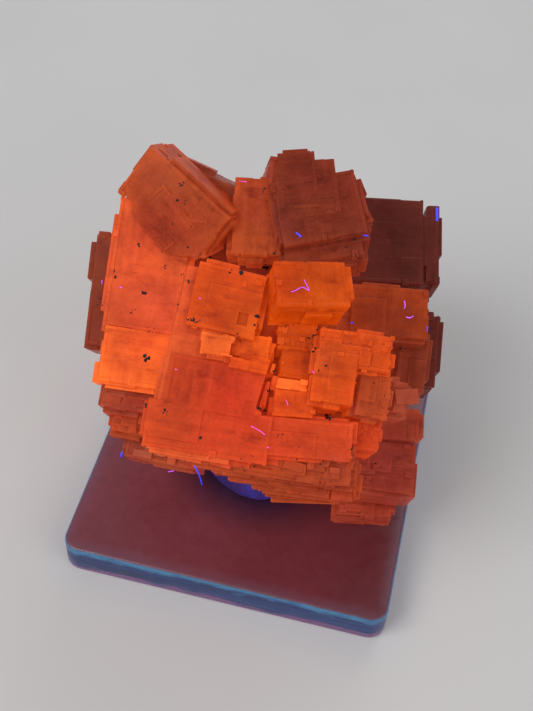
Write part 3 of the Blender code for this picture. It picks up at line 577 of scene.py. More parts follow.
class DirtSettings(bpy.types.PropertyGroup):
    """Colours of the lint and the dark grains."""
    violet: colour_setting("Violet", "Violet lint", tone(190, 90, 226))
    pink: colour_setting("Pink", "Pink lint", tone(228, 80, 172))
    blue: colour_setting("Blue", "Blue lint", tone(66, 70, 246))
    grain: colour_setting("Grain", "Dark grains on the crystals", tone(34, 10, 7))
    # Painted glow of the lint, which is no lamp
    lint_glow: bpy.props.FloatProperty(name="Lint glow", description="Strength of the lint's own light",
                                       default=0.8, min=0.0, max=3.0)


class StageSettings(bpy.types.PropertyGroup):
    """Floor, light and background of the stage."""
    floor: colour_setting("Floor", "Colour of the floor", (0.72, 0.71, 0.7))
    light: bpy.props.FloatProperty(name="Light", description="Strength of the soft lights",
                                   default=0.7, min=0.0, max=10.0)


def collection_object(bm, name):
    """Turn a bmesh into an object of the scene."""
    item = bpy.data.objects.new(name, mesh_of(bm, name))
    bpy.context.scene.collection.objects.link(item)
    return item


def mesh_of(bm, name):
    """Turn a bmesh into a mesh."""
    mesh = bpy.data.meshes.new(name)
    bm.to_mesh(mesh)
    bm.free()
    return mesh


def box_bmesh(low, high):
    """Return a plain box as a bmesh."""
    bm = bmesh.new()
    bmesh.ops.create_cube(bm, size=1.0, matrix=Matrix.Translation((low + high) / 2)
                          @ Matrix.Diagonal((*(high - low), 1.0)))
    return bm


def round_edges(bm, edges, offset, segments):
    """Cut back or round some edges of a bmesh."""
    bmesh.ops.bevel(bm, geom=edges, offset=offset, segments=segments, profile=0.5,
                    affect="EDGES", material=-1)


def evaluated_bmesh(item):
    """Return an object's mesh with its modifiers worked out."""
    bm = bmesh.new()
    bm.from_object(item, bpy.context.evaluated_depsgraph_get())
    return bm


def keep_largest_shell(bm):
    """Delete the skins of closed pockets and loose crumbs."""
    left = set(bm.verts)
    shells = []
    while left:
        front = [left.pop()]
        shell = []
        while front:
            vert = front.pop()
            shell.append(vert)
            for edge in vert.link_edges:
                other = edge.other_vert(vert)
                if other in left:
                    left.remove(other)
                    front.append(other)
        shells.append(shell)
    shells.sort(key=len)
    for shell in shells[:-1]:
        bmesh.ops.delete(bm, geom=shell, context="VERTS")


def show_side():
    """Return the turn from across, up and out to the model's axes."""
    lean = math.pi / 2 - SHOW_ELEVATION
    return (Matrix.Rotation(SHOW_AZIMUTH, 4, "Z") @ Matrix.Rotation(lean, 4, "X")
            @ Matrix.Rotation(SHOW_ROLL, 4, "Z"))


def crystal_frame(crystal):
    """Return the frame of a crystal, with its origin in the middle of its front face."""
    roll, pitch, yaw = (math.radians(angle) for angle in crystal.turn)
    turn = (Matrix.Rotation(-pitch, 4, "X") @ Matrix.Rotation(yaw, 4, "Y")
            @ Matrix.Rotation(roll, 4, "Z"))
    place = Matrix.Translation(Vector(crystal.face) * MM)
    return Matrix.Translation(CLUSTER_CENTRE) @ show_side() @ place @ turn


def side_ledge(rng, half, deep, side):
    """Return a block that stands out of one side of a crystal over part of its length."""
    across, sign = side
    along = 1 - across
    span = rng.uniform(*LEDGE_SPAN) * 2 * half[along]
    reach = half[across] + rng.uniform(*LEDGE_RISE)
    start, end = Vector(), Vector()
    start[across], end[across] = sorted((0.0, sign * reach))
    start[along] = rng.uniform(-half[along], half[along] - span)
    end[along] = start[along] + span
    start.z = -deep * rng.uniform(*LEDGE_DEPTH)
    end.z = -rng.uniform(*LEDGE_SETBACK)
    return start, end


def terrace(rng, low, high, face):
    """Return a low plate that grew in from a corner of one face of a crystal."""
    normal, sign = face
    start, end = Vector(), Vector()
    for axis in range(3):
        span = rng.uniform(*TERRACE_SPAN) * (high[axis] - low[axis])
        if rng.random() < 0.5:
            start[axis], end[axis] = low[axis] - TERRACE_PROUD, low[axis] + span
        else:
            start[axis], end[axis] = high[axis] - span, high[axis] + TERRACE_PROUD
    surface = high[normal] if sign > 0 else low[normal]
    rise = rng.uniform(*TERRACE_RISE)
    start[normal], end[normal] = sorted((surface - sign * TERRACE_ROOT, surface + sign * rise))
    return start, end


def main_block(crystal):
    """Return the low and high corners of a crystal's largest block."""
    wide, tall, deep = (length * MM for length in crystal.size)
    inset = LEDGE_INSET if crystal.steps[0] else 0.0
    low = Vector((inset - wide / 2, inset - tall / 2, -deep))
    return low, Vector((wide / 2 - inset, tall / 2 - inset, 0.0))


def crystal_blocks(crystal):
    """Return the low and high corners of the blocks of one stepped crystal, in its own frame."""
    rng = random.Random(f"{crystal.name} {GROWTH_SEED}")
    wide, tall, deep = (length * MM for length in crystal.size)
    ledges, terraces = crystal.steps
    low, high = main_block(crystal)
    blocks = [(low, high)]
    sides = list(SIDES)
    rng.shuffle(sides)
    for number in range(ledges):
        blocks.append(side_ledge(rng, (wide / 2, tall / 2), deep, sides[number % len(sides)]))
    faces = [*FRONT_AND_BACK, *sides]
    for number in range(terraces):
        blocks.append(terrace(rng, low, high, faces[number % len(faces)]))
    return blocks


def between(rng, limits):
    """Draw a length in metres from limits in millimetres."""
    return rng.uniform(*limits) * MM


def draws(rng, low, high, scale=1.0):
    """Draw three numbers between two limits, and scale them."""
    return [rng.uniform(low, high) * scale for _ in range(3)]


def fine_ledge(rng, low, high, side):
    """Return a thin step along one side of a crystal, near its front."""
    across, sign = side
    along = 1 - across
    span = min(between(rng, FINE_LEDGE_SPAN), FINE_LEDGE_MOST * (high[along] - low[along]))
    start, end = Vector(), Vector()
    surface = high[across] if sign > 0 else low[across]
    rise = between(rng, FINE_LEDGE_RISE)
    start[across], end[across] = sorted((surface - sign * PLATE_ROOT * MM, surface + sign * rise))
    start[along] = rng.uniform(low[along], high[along] - span)
    end[along] = start[along] + span
    end.z = high.z - between(rng, FINE_LEDGE_SETBACK)
    start.z = end.z - between(rng, FINE_LEDGE_DEPTH)
    return start, end


def plate(rng, low, high, face):
    """Return a growth plate that starts at a corner of one face and covers part of it."""
    normal, sign = face
    start, end = Vector(low), Vector(high)
    for axis in range(3):
        if axis == normal:
            continue
        cut = rng.uniform(*PLATE_CUT) * (high[axis] - low[axis])
        proud = rng.uniform(*TERRACE_RISE) / 2
        if rng.random() < 0.5:
            start[axis] -= proud
            end[axis] -= cut
        else:
            start[axis] += cut
            end[axis] += proud
    surface = high[normal] if sign > 0 else low[normal]
    rise = between(rng, PLATE_RISE)
    start[normal], end[normal] = sorted((surface - sign * PLATE_ROOT * MM, surface + sign * rise))
    return start, end


def cubelet(rng, low, high, face):
    """Return a small cube that grew near the rim of one face."""
    normal, sign = face
    size = between(rng, CUBELET_SIZE)
    others = [axis for axis in range(3) if axis != normal]
    rng.shuffle(others)
    centre = Vector()
    centre[others[0]] = rng.choice((low[others[0]], high[others[0]]))
    centre[others[1]] = rng.uniform(low[others[1]], high[others[1]])
    surface = high[normal] if sign > 0 else low[normal]
    centre[normal] = surface - sign * size * rng.uniform(*CUBELET_SUNK)
    half = Vector(draws(rng, *CUBELET_HALF, size))
    return centre - half, centre + half


def crumb(rng, low, high):
    """Return a small cube that stands on the front face of a rough crystal."""
    size = between(rng, CRUMB_SIZE)
    half = Vector(draws(rng, *CRUMB_HALF, size))
    centre = Vector([rng.uniform(*limits) for limits in zip(low, high)])
    centre.z = high.z - half.z * rng.uniform(*CRUMB_SUNK)
    return centre - half, centre + half


def lump(rng, low, high):
    """Return a block that stands proud of the front face of a crystal, or hangs past its foot."""
    wide, tall = between(rng, LUMP_WIDE), between(rng, LUMP_TALL)
    left = rng.uniform(low.x, high.x - wide)
    foot = rng.uniform(low.y - LUMP_DROP * MM, high.y - tall)
    proud = high.z + between(rng, LUMP_PROUD)
    return Vector((left, foot, high.z - LUMP_ROOT * MM)), Vector((left + wide, foot + tall, proud))


def fine_blocks(crystal):
    """Return the small blocks that grew on a crystal."""
    rng = random.Random(f"fine {crystal.name} {FINE_SEED}")
    low, high = main_block(crystal)
    size = (high - low) / MM
    blocks = []
    if not crystal.steps[0]:
        return blocks
    for side in SIDES:
        ledges = round(size[1 - side[0]] * FINE_LEDGES_PER_MM)
        blocks += [fine_ledge(rng, low, high, side) for _ in range(ledges)]
    for face in SIDES + FRONT_AND_BACK:
        others = [size[axis] for axis in range(3) if axis != face[0]]
        plates = round(others[0] * others[1] * PLATES_PER_SQUARE_MM)
        blocks += [plate(rng, low, high, face) for _ in range(min(plates, MOST_PLATES))]
        cubelets = round((others[0] + others[1]) * CUBELETS_PER_MM)
        blocks += [cubelet(rng, low, high, face) for _ in range(cubelets)]
    return blocks


def askew(rng, low, high):
    """Return a small turn of a block about its own middle."""
    middle = (low + high) / 2
    axis = Vector(draws(rng, -1, 1)).normalized()
    turn = Matrix.Rotation(math.radians(rng.gauss(0, ROUGH_TILT)), 4, axis)
    return Matrix.Translation(middle) @ turn @ Matrix.Translation(-middle)


def rough_blocks(crystal):
    """Return the crumbs and lumps on a rough crystal, each with its own small turn."""
    rng = random.Random(f"rough {crystal.name} {FINE_SEED}")
    low, high = main_block(crystal)
    blocks = [lump(rng, low, high) for _ in range(LUMPS.get(crystal.name, 0))]
    blocks += [crumb(rng, low, high) for _ in range(CRUMBS.get(crystal.name, 0))]
    return [(block, askew(rng, *block)) for block in blocks]


def chamfered_block(low, high, place, chamfer):
    """Return a mesh of one block with its edges cut back."""
    bm = box_bmesh(low, high)
    round_edges(bm, bm.edges[:], min(chamfer, min(high - low) / 4), 1)
    bmesh.ops.transform(bm, matrix=place, verts=bm.verts)
    return mesh_of(bm, "block")


def block_collection(name, meshes):
    """Return a collection with one object for each block."""
    group = bpy.data.collections.new(name)
    bpy.context.scene.collection.children.link(group)
    for mesh in meshes:
        group.objects.link(bpy.data.objects.new(name, mesh))
    return group


def drop_collection(group):
    """Remove a collection with its objects and their meshes."""
    items = list(group.objects)
    meshes = [item.data for item in items]
    bpy.data.batch_remove([group, *items, *meshes])


def carve(name, gains, losses):
    """Unite one list of block meshes, cut another out of them, and return the skin as a bmesh."""
    item = bpy.data.objects.new(name, gains[0])
    bpy.context.scene.collection.objects.link(item)
    groups = []
    for operation, meshes in (("UNION", gains[1:]), ("DIFFERENCE", losses)):
        if not meshes:
            continue
        groups.append(block_collection(f"{name}_{operation.lower()}", meshes))
        modifier = item.modifiers.new(operation.lower(), "BOOLEAN")
        modifier.operation = operation
        modifier.solver = "MANIFOLD"
        modifier.operand_type = "COLLECTION"
        modifier.collection = groups[-1]
    bm = evaluated_bmesh(item)
    bpy.data.objects.remove(item, do_unlink=True)
    for group in groups:
        drop_collection(group)
    keep_largest_shell(bm)
    return bm


def cluster_skin(fine):
    """Return the outer skin of the cluster as a bmesh, with or without its fine growth."""
    grown = []
    for crystal in CLUSTER_CRYSTALS:
        place = crystal_frame(crystal)
        grown += [chamfered_block(*block, place, CHAMFER_MAIN) for block in crystal_blocks(crystal)]
        if fine:
            grown += [chamfered_block(*block, place, CHAMFER_FINE) for block in fine_blocks(crystal)]
            grown += [chamfered_block(*block, place @ tilt, CHAMFER_FINE)
                      for block, tilt in rough_blocks(crystal)]
    pits = [chamfered_block(*main_block(pit), crystal_frame(pit), CHAMFER_FINE) for pit in PITS]
    return carve("crystals", grown, pits)


def owners(points):
    """Return the number of the crystal whose block surface is nearest to each point."""
    nearest = np.full(len(points), np.inf)
    owner = np.zeros(len(points), int)
    for number, crystal in enumerate(CLUSTER_CRYSTALS):
        inward = np.array(crystal_frame(crystal).inverted())
        low, high = main_block(crystal)
        local = points @ inward[:3, :3].T + inward[:3, 3]
        past = np.maximum(np.array(low) - local, local - np.array(high))
        outside = np.linalg.norm(np.maximum(past, 0.0), axis=1)
        inside = np.minimum(past.max(axis=1), 0.0)
        distance = np.abs(outside + inside)
        closer = distance < nearest
        nearest[closer] = distance[closer]
        owner[closer] = number
    return owner


def mark_crystals(mesh, settings):
    """Give each face corner its crystal's colour, partly painted shade, and its place in that crystal in
    millimetres.
    """
    count = len(mesh.polygons)
    centres = np.empty(count * 3, np.float32)
    mesh.polygons.foreach_get("center", centres)
    owner = owners(centres.reshape(-1, 3).astype(float))
    totals = np.empty(count, np.int32)
    mesh.polygons.foreach_get("loop_total", totals)
    corner_owner = np.repeat(owner, totals)
    corner_vert = np.empty(len(mesh.loops), np.int32)
    mesh.loops.foreach_get("vertex_index", corner_vert)
    places = np.empty(len(mesh.vertices) * 3, np.float32)
    mesh.vertices.foreach_get("co", places)
    corner_place = places.reshape(-1, 3)[corner_vert].astype(float)
    tints = np.ones((len(corner_vert), 4), np.float32)
    grain = np.zeros((len(corner_vert), 3), np.float32)
    for number, crystal in enumerate(CLUSTER_CRYSTALS):
        chosen = corner_owner == number
        inward = np.array(crystal_frame(crystal).inverted())
        local = corner_place[chosen] @ inward[:3, :3].T + inward[:3, 3]
        rng = random.Random(f"grain {crystal.name}")
        grain[chosen] = local / MM + draws(rng, -GRAIN_SHIFT, GRAIN_SHIFT)
        tints[chosen, :3] = getattr(settings, crystal.tint)
    for name, kind, key, values in (("growth_tint", "FLOAT_COLOR", "color", tints),
                                    ("grain", "FLOAT_VECTOR", "vector", grain)):
        mesh.attributes.new(name, kind, "CORNER").data.foreach_set(key, values.ravel())


def feed(tree, socket, value):
    """Link a socket to another one, or set its value."""
    if isinstance(value, bpy.types.NodeSocket):
        tree.links.new(value, socket)
    else:
        socket.default_value = value


def new_material(name):
    """Return a new material, its node tree and its Principled shader."""
    material = bpy.data.materials.new(name)
    material.use_nodes = True
    tree = material.node_tree
    return material, tree, tree.nodes["Principled BSDF"]


def feed_all(tree, node, values):
    """Feed several inputs of a node, each named or numbered."""
    for name, value in values.items():
        feed(tree, node.inputs[name], value)


def made(tree, kind, output, values=None, **properties):
    """Add a node with its properties and inputs, and return one of its outputs."""
    node = tree.nodes.new(f"ShaderNode{kind}")
    for name, value in properties.items():
        setattr(node, name, value)
    feed_all(tree, node, values or {})
    return node.outputs[output]


def attribute(tree, name, output):
    """Return one output of a mesh attribute."""
    return made(tree, "Attribute", output, attribute_name=name)


def object_place(tree):
    """Return the place on the object in millimetres."""
    return stretched(tree, made(tree, "TexCoord", "Object"), (1 / MM, 1 / MM, 1 / MM))


def stretched(tree, place, stretch):
    """Return a place scaled by a share along each axis."""
    return made(tree, "VectorMath", "Vector", {0: place, 1: stretch}, operation="MULTIPLY")


def noise(tree, place, scale, detail=2.0, roughness=0.5, distortion=0.0):
    """Return a noise value from 0 to 1."""
    return made(tree, "TexNoise", "Fac", {"Vector": place, "Scale": scale, "Detail": detail,
                                          "Roughness": roughness, "Distortion": distortion})


def spread(tree, value, low, high, to_low=0.0, to_high=1.0):
    """Return a value moved from one range to another and kept in it."""
    return made(tree, "MapRange", "Result", {"Value": value, "From Min": low, "From Max": high,
                                             "To Min": to_low, "To Max": to_high})


def sums(tree, operation, *values):
    """Return the result of one Math node."""
    return made(tree, "Math", "Value", dict(enumerate(values)), operation=operation)


def mixed(tree, kind, share, first, second):
    """Return two colours mixed in one of the blend modes."""
    node = tree.nodes.new("ShaderNodeMix")
    node.data_type = "RGBA"
    node.blend_type = kind
    node.clamp_result = False
    feed(tree, node.inputs["Factor"], share)
    colour_sockets = [socket for socket in node.inputs if socket.type == "RGBA"]
    for socket, value in zip(colour_sockets, (first, second)):
        feed(tree, socket, value if isinstance(value, bpy.types.NodeSocket) else (*value, 1.0))
    return [socket for socket in node.outputs if socket.type == "RGBA"][0]


def grey(tree, value):
    """Return a value as a grey colour."""
    return made(tree, "CombineColor", "Color", {0: value, 1: value, 2: value})


def bump(tree, height, distance, strength, normal=None):
    """Return a normal bent by a height."""
    values = {"Strength": strength, "Distance": distance, "Height": height}
    if normal is not None:
        values["Normal"] = normal
    return made(tree, "Bump", "Normal", values)


def bent(tree, low, high, share):
    """Return a colour between two colours, by a share from 0 to 1."""
    return mixed(tree, "MIX", share, low, high)


def distance_to(tree, place, centre):
    """Return how far a place lies from a point."""
    return made(tree, "VectorMath", "Value", {0: place, 1: centre}, operation="DISTANCE")


def openness(tree, reach, inside=False):
    """Return how open the space round a place is, from 0 to 1."""
    return made(tree, "AmbientOcclusion", "AO", {"Distance": reach}, inside=inside,
                samples=OPENNESS_SAMPLES)


def glowing(tree, shader, colour, strength):
    """Give a shader one colour for its body and for a painted glow of its own."""
    feed_all(tree, shader, {"Base Color": colour, "Emission Color": colour,
                            "Emission Strength": strength})


def shaded(tree, colour, value, *limits):
    """Return a colour made lighter and darker by a value."""
    return mixed(tree, "MULTIPLY", 1.0, colour, grey(tree, spread(tree, value, *limits)))


def patch_share(tree, place, centre, reach, share, wander):
    """Return how strongly a soft patch round a point colours a place."""
    distance = distance_to(tree, place, centre / MM)
    distance = sums(tree, "MULTIPLY_ADD", wander, PATCH_WANDER, distance)
    return spread(tree, distance, reach + PATCH_WANDER / 2, reach * PATCH_CORE, 0.0, share)


def salt_streaks(tree, grain):
    """Return growth streaks that lie level in some places of a crystal and upright in others."""
    level = noise(tree, stretched(tree, grain, LEVEL_STRETCH), *STREAK)
    upright = noise(tree, stretched(tree, grain, UPRIGHT_STRETCH), *STREAK)
    turn = spread(tree, noise(tree, grain, *STREAK_TURN), *TURN_USED)
    return sums(tree, "MULTIPLY_ADD", sums(tree, "SUBTRACT", upright, level), turn, level)


def rim_fold(tree, rounded):
    """Return 1 on the sharp edges and 0 on the flat faces."""
    flat = made(tree, "NewGeometry", "Normal")
    fold = made(tree, "VectorMath", "Value", {0: rounded, 1: flat}, operation="DOT_PRODUCT")
    return spread(tree, fold, *RIM_FOLD)


def halite_material(settings, patches):
    """Cloudy orange salt with a painted glow: a tint for each crystal, soft growth streaks, painted
    light rims, painted shade in creases.
    """
    material, tree, shader = new_material("halite")
    grain = attribute(tree, "grain", "Vector")
    tint = attribute(tree, "growth_tint", "Color")
    place = object_place(tree)
    streaks = salt_streaks(tree, grain)
    cloud = noise(tree, place, *CLOUD)
    mottle = noise(tree, place, *MOTTLE)
    fine = noise(tree, place, *FINE)

    ruddy = spread(tree, noise(tree, place, *RUDDY), *RUDDY_USED)
    tint = mixed(tree, "MULTIPLY", ruddy, tint, RUDDY_SALT)
    wander = noise(tree, place, *WANDER)
    for patch, centre in patches:
        share = patch_share(tree, place, centre, patch.reach, patch.share, wander)
        tint = mixed(tree, "MULTIPLY", share, tint, PATCH_KINDS[patch.kind])

    light = 0.0
    for value, (low, high, gain) in ((cloud, CLOUD_LIGHT), (mottle, MOTTLE_LIGHT),
                                     (streaks, STREAK_LIGHT), (fine, FINE_LIGHT)):
        light = sums(tree, "MULTIPLY_ADD", spread(tree, value, low, high), gain, light)
    # Painted light where the salt is thin
    thin = openness(tree, THIN_REACH, inside=True)
    light = sums(tree, "ADD", light, spread(tree, thin, *THIN_LIGHT))
    smudge = noise(tree, stretched(tree, grain, SMUDGE_STRETCH), *STREAK)
    light = sums(tree, "MULTIPLY_ADD", spread(tree, smudge, *SMUDGE_USED), SMUDGE_LIGHT, light)
    colour = mixed(tree, "MULTIPLY", 1.0, tint, bent(tree, DARK_SALT, LIGHT_SALT, light))

    rounded = made(tree, "Bevel", "Normal", {"Radius": RIM_RADIUS}, samples=BEVEL_SAMPLES)
    # Painted highlights on the sharp edges
    rim_highlight = mixed(tree, "ADD", 1.0, colour, RIM_HIGHLIGHT_GAIN)
    rim_highlight_share = sums(tree, "MULTIPLY", rim_fold(tree, rounded), spread(tree, mottle, *RIM_HIGHLIGHT_SHARE))
    colour = bent(tree, colour, rim_highlight, rim_highlight_share)

    # How closed each place is: for painted shade in the creases, and for more grime there
    shade = openness(tree, CREASE_REACH)
    crease_shade = mixed(tree, "MULTIPLY", 1.0, colour, CREASE_SHADE)
    colour = bent(tree, crease_shade, colour, spread(tree, shade, *CREASE_OPEN))

    dirty_area = spread(tree, noise(tree, place, *GRIME_AREA), *GRIME_AREA_USED)
    dots = spread(tree, noise(tree, place, *GRIME_DOTS), *GRIME_DOTS_USED)
    grime = sums(tree, "MULTIPLY", sums(tree, "MULTIPLY", dirty_area, dots),
                 spread(tree, shade, *GRIME_OPEN))
    colour = bent(tree, colour, GRIME_COLOUR, grime)

    ripples = sums(tree, "MULTIPLY", fine, FINE_RIPPLE)
    ripples = sums(tree, "MULTIPLY_ADD", streaks, STREAK_RIPPLE, ripples)
    # The salt's emission is a painted glow; it is no lamp
    feed_all(tree, shader, {
        "Base Color": mixed(tree, "MULTIPLY", 1.0, colour, BODY_SALT),
        "Emission Color": colour,
        "Emission Strength": settings.glow,
        "Transmission Weight": settings.clearness,
        "IOR": SALT_IOR,
        "Specular IOR Level": SALT_GLOSS,
        "Specular Tint": SALT_GLOSS_TINT,
        "Roughness": spread(tree, fine, *SALT_ROUGHNESS),
        "Normal": bump(tree, ripples, *SALT_BUMP, rounded),
    })
    inner = made(tree, "VolumeAbsorption", "Volume", {"Color": SALT_PASSED, "Density": SALT_DENSITY})
    feed(tree, tree.nodes["Material Output"].inputs["Volume"], inner)
    return material


def putty_material(settings):
    """Matte violet blue putty with brighter streaks and a painted glow."""
    material, tree, shader = new_material("putty")
    place = object_place(tree)
    lumps = noise(tree, place, *PUTTY_SWELL)
    pores = noise(tree, place, *PUTTY_PORES)
    streaks = noise(tree, stretched(tree, place, PUTTY_STRETCH), *PUTTY_STREAK)
    streaks = spread(tree, streaks, *PUTTY_STREAK_SHARE)
    colour = bent(tree, tuple(settings.body), tuple(settings.streak), streaks)
    glowing(tree, shader, shaded(tree, colour, pores, *PUTTY_SHADE), PUTTY_GLOW)
    feed(tree, shader.inputs["Roughness"], spread(tree, lumps, *PUTTY_ROUGHNESS))
    feed(tree, shader.inputs["Normal"], bump(tree, sums(tree, "ADD", lumps, pores), *PUTTY_BUMP))
    return material


def split(tree, place):
    """Return the three parts of a place or a direction."""
    node = tree.nodes.new("ShaderNodeSeparateXYZ")
    feed(tree, node.inputs["Vector"], place)
    return node.outputs


def slab_top(tree, settings, place, across):
    """Return the dusky rose colour of the base's top, partly a painted reflection of the crystals' glow,
    and darker to the right as painted shade.
    """
    cloud = spread(tree, noise(tree, place, *SLAB_CLOUD), *USED)
    dusk = sums(tree, "MULTIPLY_ADD", cloud, CLOUD_DUSK, sums(tree, "MULTIPLY", across, ACROSS_DUSK))
    return bent(tree, tuple(settings.top), tuple(settings.dusk), dusk)


def slab_side(tree, settings, place, height, wander):
    """Return the base's sides: slate blue bands of painted light, a painted glint line above and a
    painted pink reflection below.
    """
    wavy = sums(tree, "MULTIPLY_ADD", spread(tree, wander, *USED), LINE_WAVER, height)
    bands = noise(tree, stretched(tree, place, BAND_STRETCH), *SLAB_BANDS)
    side = shaded(tree, tuple(settings.edge), bands, *BAND_SHADE)
    side = bent(tree, side, tuple(settings.glint), spread(tree, wavy, *GLINT_LINE))
    return bent(tree, tuple(settings.foot), side, spread(tree, wavy, *FOOT_LINE))


def rim_distance(tree, place_parts, low, high):
    """Return how far a place on the base lies inside its outline, in millimetres."""
    distances = []
    for axis, near, far in (("X", low.x, high.x), ("Y", low.y, high.y)):
        from_middle = sums(tree, "SUBTRACT", place_parts[axis], (near + far) / 2 / MM)
        off_middle = sums(tree, "ABSOLUTE", from_middle)
        distances.append(sums(tree, "SUBTRACT", (far - near) / 2 / MM, off_middle))
    return sums(tree, "MINIMUM", *distances)


def acrylic_material(settings, low, high):
    """Satin acrylic with painted light: dusky rose from above, slate blue at the sides, with pale and
    pink edge lines.
    """
    material, tree, shader = new_material("acrylic")
    place = object_place(tree)
    parts = split(tree, place)
    facing = split(tree, made(tree, "NewGeometry", "Normal"))
    smudge = noise(tree, place, *SLAB_SMUDGE)
    wander = noise(tree, stretched(tree, place, LINE_STRETCH), *SLAB_RAGGED)
    patchy = noise(tree, stretched(tree, place, GLINT_PATCH_STRETCH), *SLAB_RAGGED)
    across = spread(tree, parts["X"], low.x / MM, high.x / MM)
    height = spread(tree, parts["Z"], low.z / MM, high.z / MM)

    top = shaded(tree, slab_top(tree, settings, place, across), smudge, *SLAB_SHADE)
    side = slab_side(tree, settings, place, height, wander)
    # Painted glint in patches on the upper part of the sides
    glint_patches = sums(tree, "MULTIPLY", spread(tree, patchy, *GLINT_PATCHES_USED), spread(tree, height, *GLINT_PATCHES_HIGH))
    side = bent(tree, side, tuple(settings.glint), glint_patches)
    upwards = spread(tree, sums(tree, "MULTIPLY_ADD", wander, TOP_WAVER, facing["Z"]), *TOP_FACING)
    colour = bent(tree, side, top, upwards)

    from_rim = rim_distance(tree, parts, low, high)
    # Painted glint wisps and a painted pale sheen along the rim of the top
    ragged = sums(tree, "MULTIPLY_ADD", patchy, GLINT_WISP_WAVER, from_rim)
    ragged = sums(tree, "ADD", upwards, ragged)
    glint_wisps = sums(tree, "MULTIPLY", spread(tree, ragged, *GLINT_WISP_SHARE), upwards)
    colour = bent(tree, colour, tuple(settings.glint), glint_wisps)
    rim_sheen = spread(tree, sums(tree, "MULTIPLY_ADD", wander, RIM_SHEEN_WAVER, from_rim), *RIM_SHEEN_SHARE)
    colour = bent(tree, colour, tuple(settings.rim_sheen), sums(tree, "MULTIPLY", rim_sheen, upwards))

    # The putty's painted shadow on the base
    level_place = stretched(tree, place, (1.0, 1.0, 0.0))
    from_putty = distance_to(tree, level_place, (*(PUTTY_CENTRE / MM), 0.0))
    foot_edge = PUTTY_FOOT_RADIUS / MM
    putty_shadow = spread(tree, from_putty, foot_edge + PUTTY_SHADOW_REACH, foot_edge, 0.0, PUTTY_SHADOW_SHARE)
    colour = bent(tree, colour, mixed(tree, "MULTIPLY", 1.0, colour, PUTTY_SHADOW_DARKNESS), putty_shadow)
    # A painted glow: the base gives its own light, though it is no lamp
    glowing(tree, shader, colour, ACRYLIC_GLOW)
    feed_all(tree, shader, {
        "Roughness": spread(tree, smudge, *ACRYLIC_ROUGHNESS),
        "Normal": bump(tree, noise(tree, place, *SLAB_WAVES), *ACRYLIC_BUMP),
        "Transmission Weight": ACRYLIC_CLEARNESS,
        "IOR": ACRYLIC_IOR,
    })
    return material


def lint_material(settings):
    """Lint with a painted glow: each fibre's own dye, a little uneven along it."""
    material, tree, shader = new_material("lint")
    uneven = noise(tree, object_place(tree), *LINT_UNEVEN)
    colour = shaded(tree, attribute(tree, "dye", "Color"), uneven, *LINT_SHADE)
    glowing(tree, shader, colour, settings.lint_glow)
    feed(tree, shader.inputs["Roughness"], LINT_ROUGHNESS)
    return material


def grain_material(settings):
    """Nearly black grains with a dark brown cast."""
    material, tree, shader = new_material("grains")
    uneven = noise(tree, object_place(tree), *GRAIN_MOTTLE)
    feed(tree, shader.inputs["Base Color"],
         shaded(tree, tuple(settings.grain), uneven, *GRAIN_SHADE))
    feed(tree, shader.inputs["Roughness"], spread(tree, uneven, *GRAIN_ROUGHNESS))
    return material


def smooth(item, sharp_angle):
    """Shade an object smooth, but for its sharp edges."""
    item.data.shade_smooth()
    item.data.set_sharp_from_angle(angle=sharp_angle)


def plain_piece(name, material, replaced=()):
    """Finish an object: its material, its body, and what it stands for."""
    item = bpy.data.objects[name]
    item.data.materials.clear()
    item.data.materials.append(material)
    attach(item, "root")
    if replaced:
        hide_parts(*replaced)
    return item


class HALITE_OT_cluster(bpy.types.Operator):
    """Grow the halite cluster with its fine ledges, plates, small cubes and pits"""
    bl_idname = "halite.cluster"
    bl_label = "Halite cluster"

    def execute(self, context):
        settings = context.scene.halite_settings
        bm = cluster_skin(fine=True)
        item = collection_object(bm, "halite_crystals")
        mark_crystals(item.data, settings)
        material = halite_material(settings, patch_centres(surface_of(item)))
        plain_piece("halite_crystals", material, ("halite_cluster",))
        return {"FINISHED"}


def lowest_point(crystal):
    """Return the height of the lowest corner of a crystal's blocks."""
    place = crystal_frame(crystal)
    corners = [Vector((x, y, z)) for low, high in crystal_blocks(crystal)
               for x in (low.x, high.x) for y in (low.y, high.y) for z in (low.z, high.z)]
    return min((place @ corner).z for corner in corners)


def putty_blob(foot, lump):
    """Return the squashed blob of putty before the cluster is pressed into it, as a mesh."""
    bm = bmesh.new()
    profile = []
    for ring in range(PUTTY_RINGS + 1):
        rise = math.sin(ring / PUTTY_RINGS * math.pi / 2)
        share = (1 - rise ** PUTTY_SQUARENESS) ** (1 / PUTTY_SQUARENESS)
        share -= PUTTY_FOOT_DRAW * (1 - min(1.0, rise * PUTTY_FOOT_CURL))
        profile.append(bm.verts.new((share * PUTTY_FOOT_RADIUS, 0.0, foot + rise * PUTTY_HEIGHT)))
    for lower, upper in zip(profile, profile[1:]):
        bm.edges.new((lower, upper))
    bmesh.ops.spin(bm, geom=bm.verts[:] + bm.edges[:], cent=(0, 0, 0), axis=(0, 0, 1),
                   angle=2 * math.pi, steps=PUTTY_SIDES, use_merge=True)
    bmesh.ops.remove_doubles(bm, verts=bm.verts, dist=WELD)
    rim = [edge for edge in bm.edges if edge.is_boundary]
    bmesh.ops.contextual_create(bm, geom=rim)
    for vert in bm.verts:
        angle = math.atan2(vert.co.y, vert.co.x)
        swell = sum(strength * math.sin(count * angle + start)
                    for count, strength, start in PUTTY_LUMPS)
        outward = Vector((vert.co.x, vert.co.y, 0.0))
        if outward.length > MM:
            ripple = wave.noise(vert.co / MM * PUTTY_RIPPLES) * lump
            vert.co += outward.normalized() * (swell * PUTTY_LUMP + min(ripple, 0.0))
    bmesh.ops.translate(bm, verts=bm.verts, vec=(*PUTTY_CENTRE, 0.0))
    bmesh.ops.recalc_face_normals(bm, faces=bm.faces)
    return mesh_of(bm, "putty_blob")


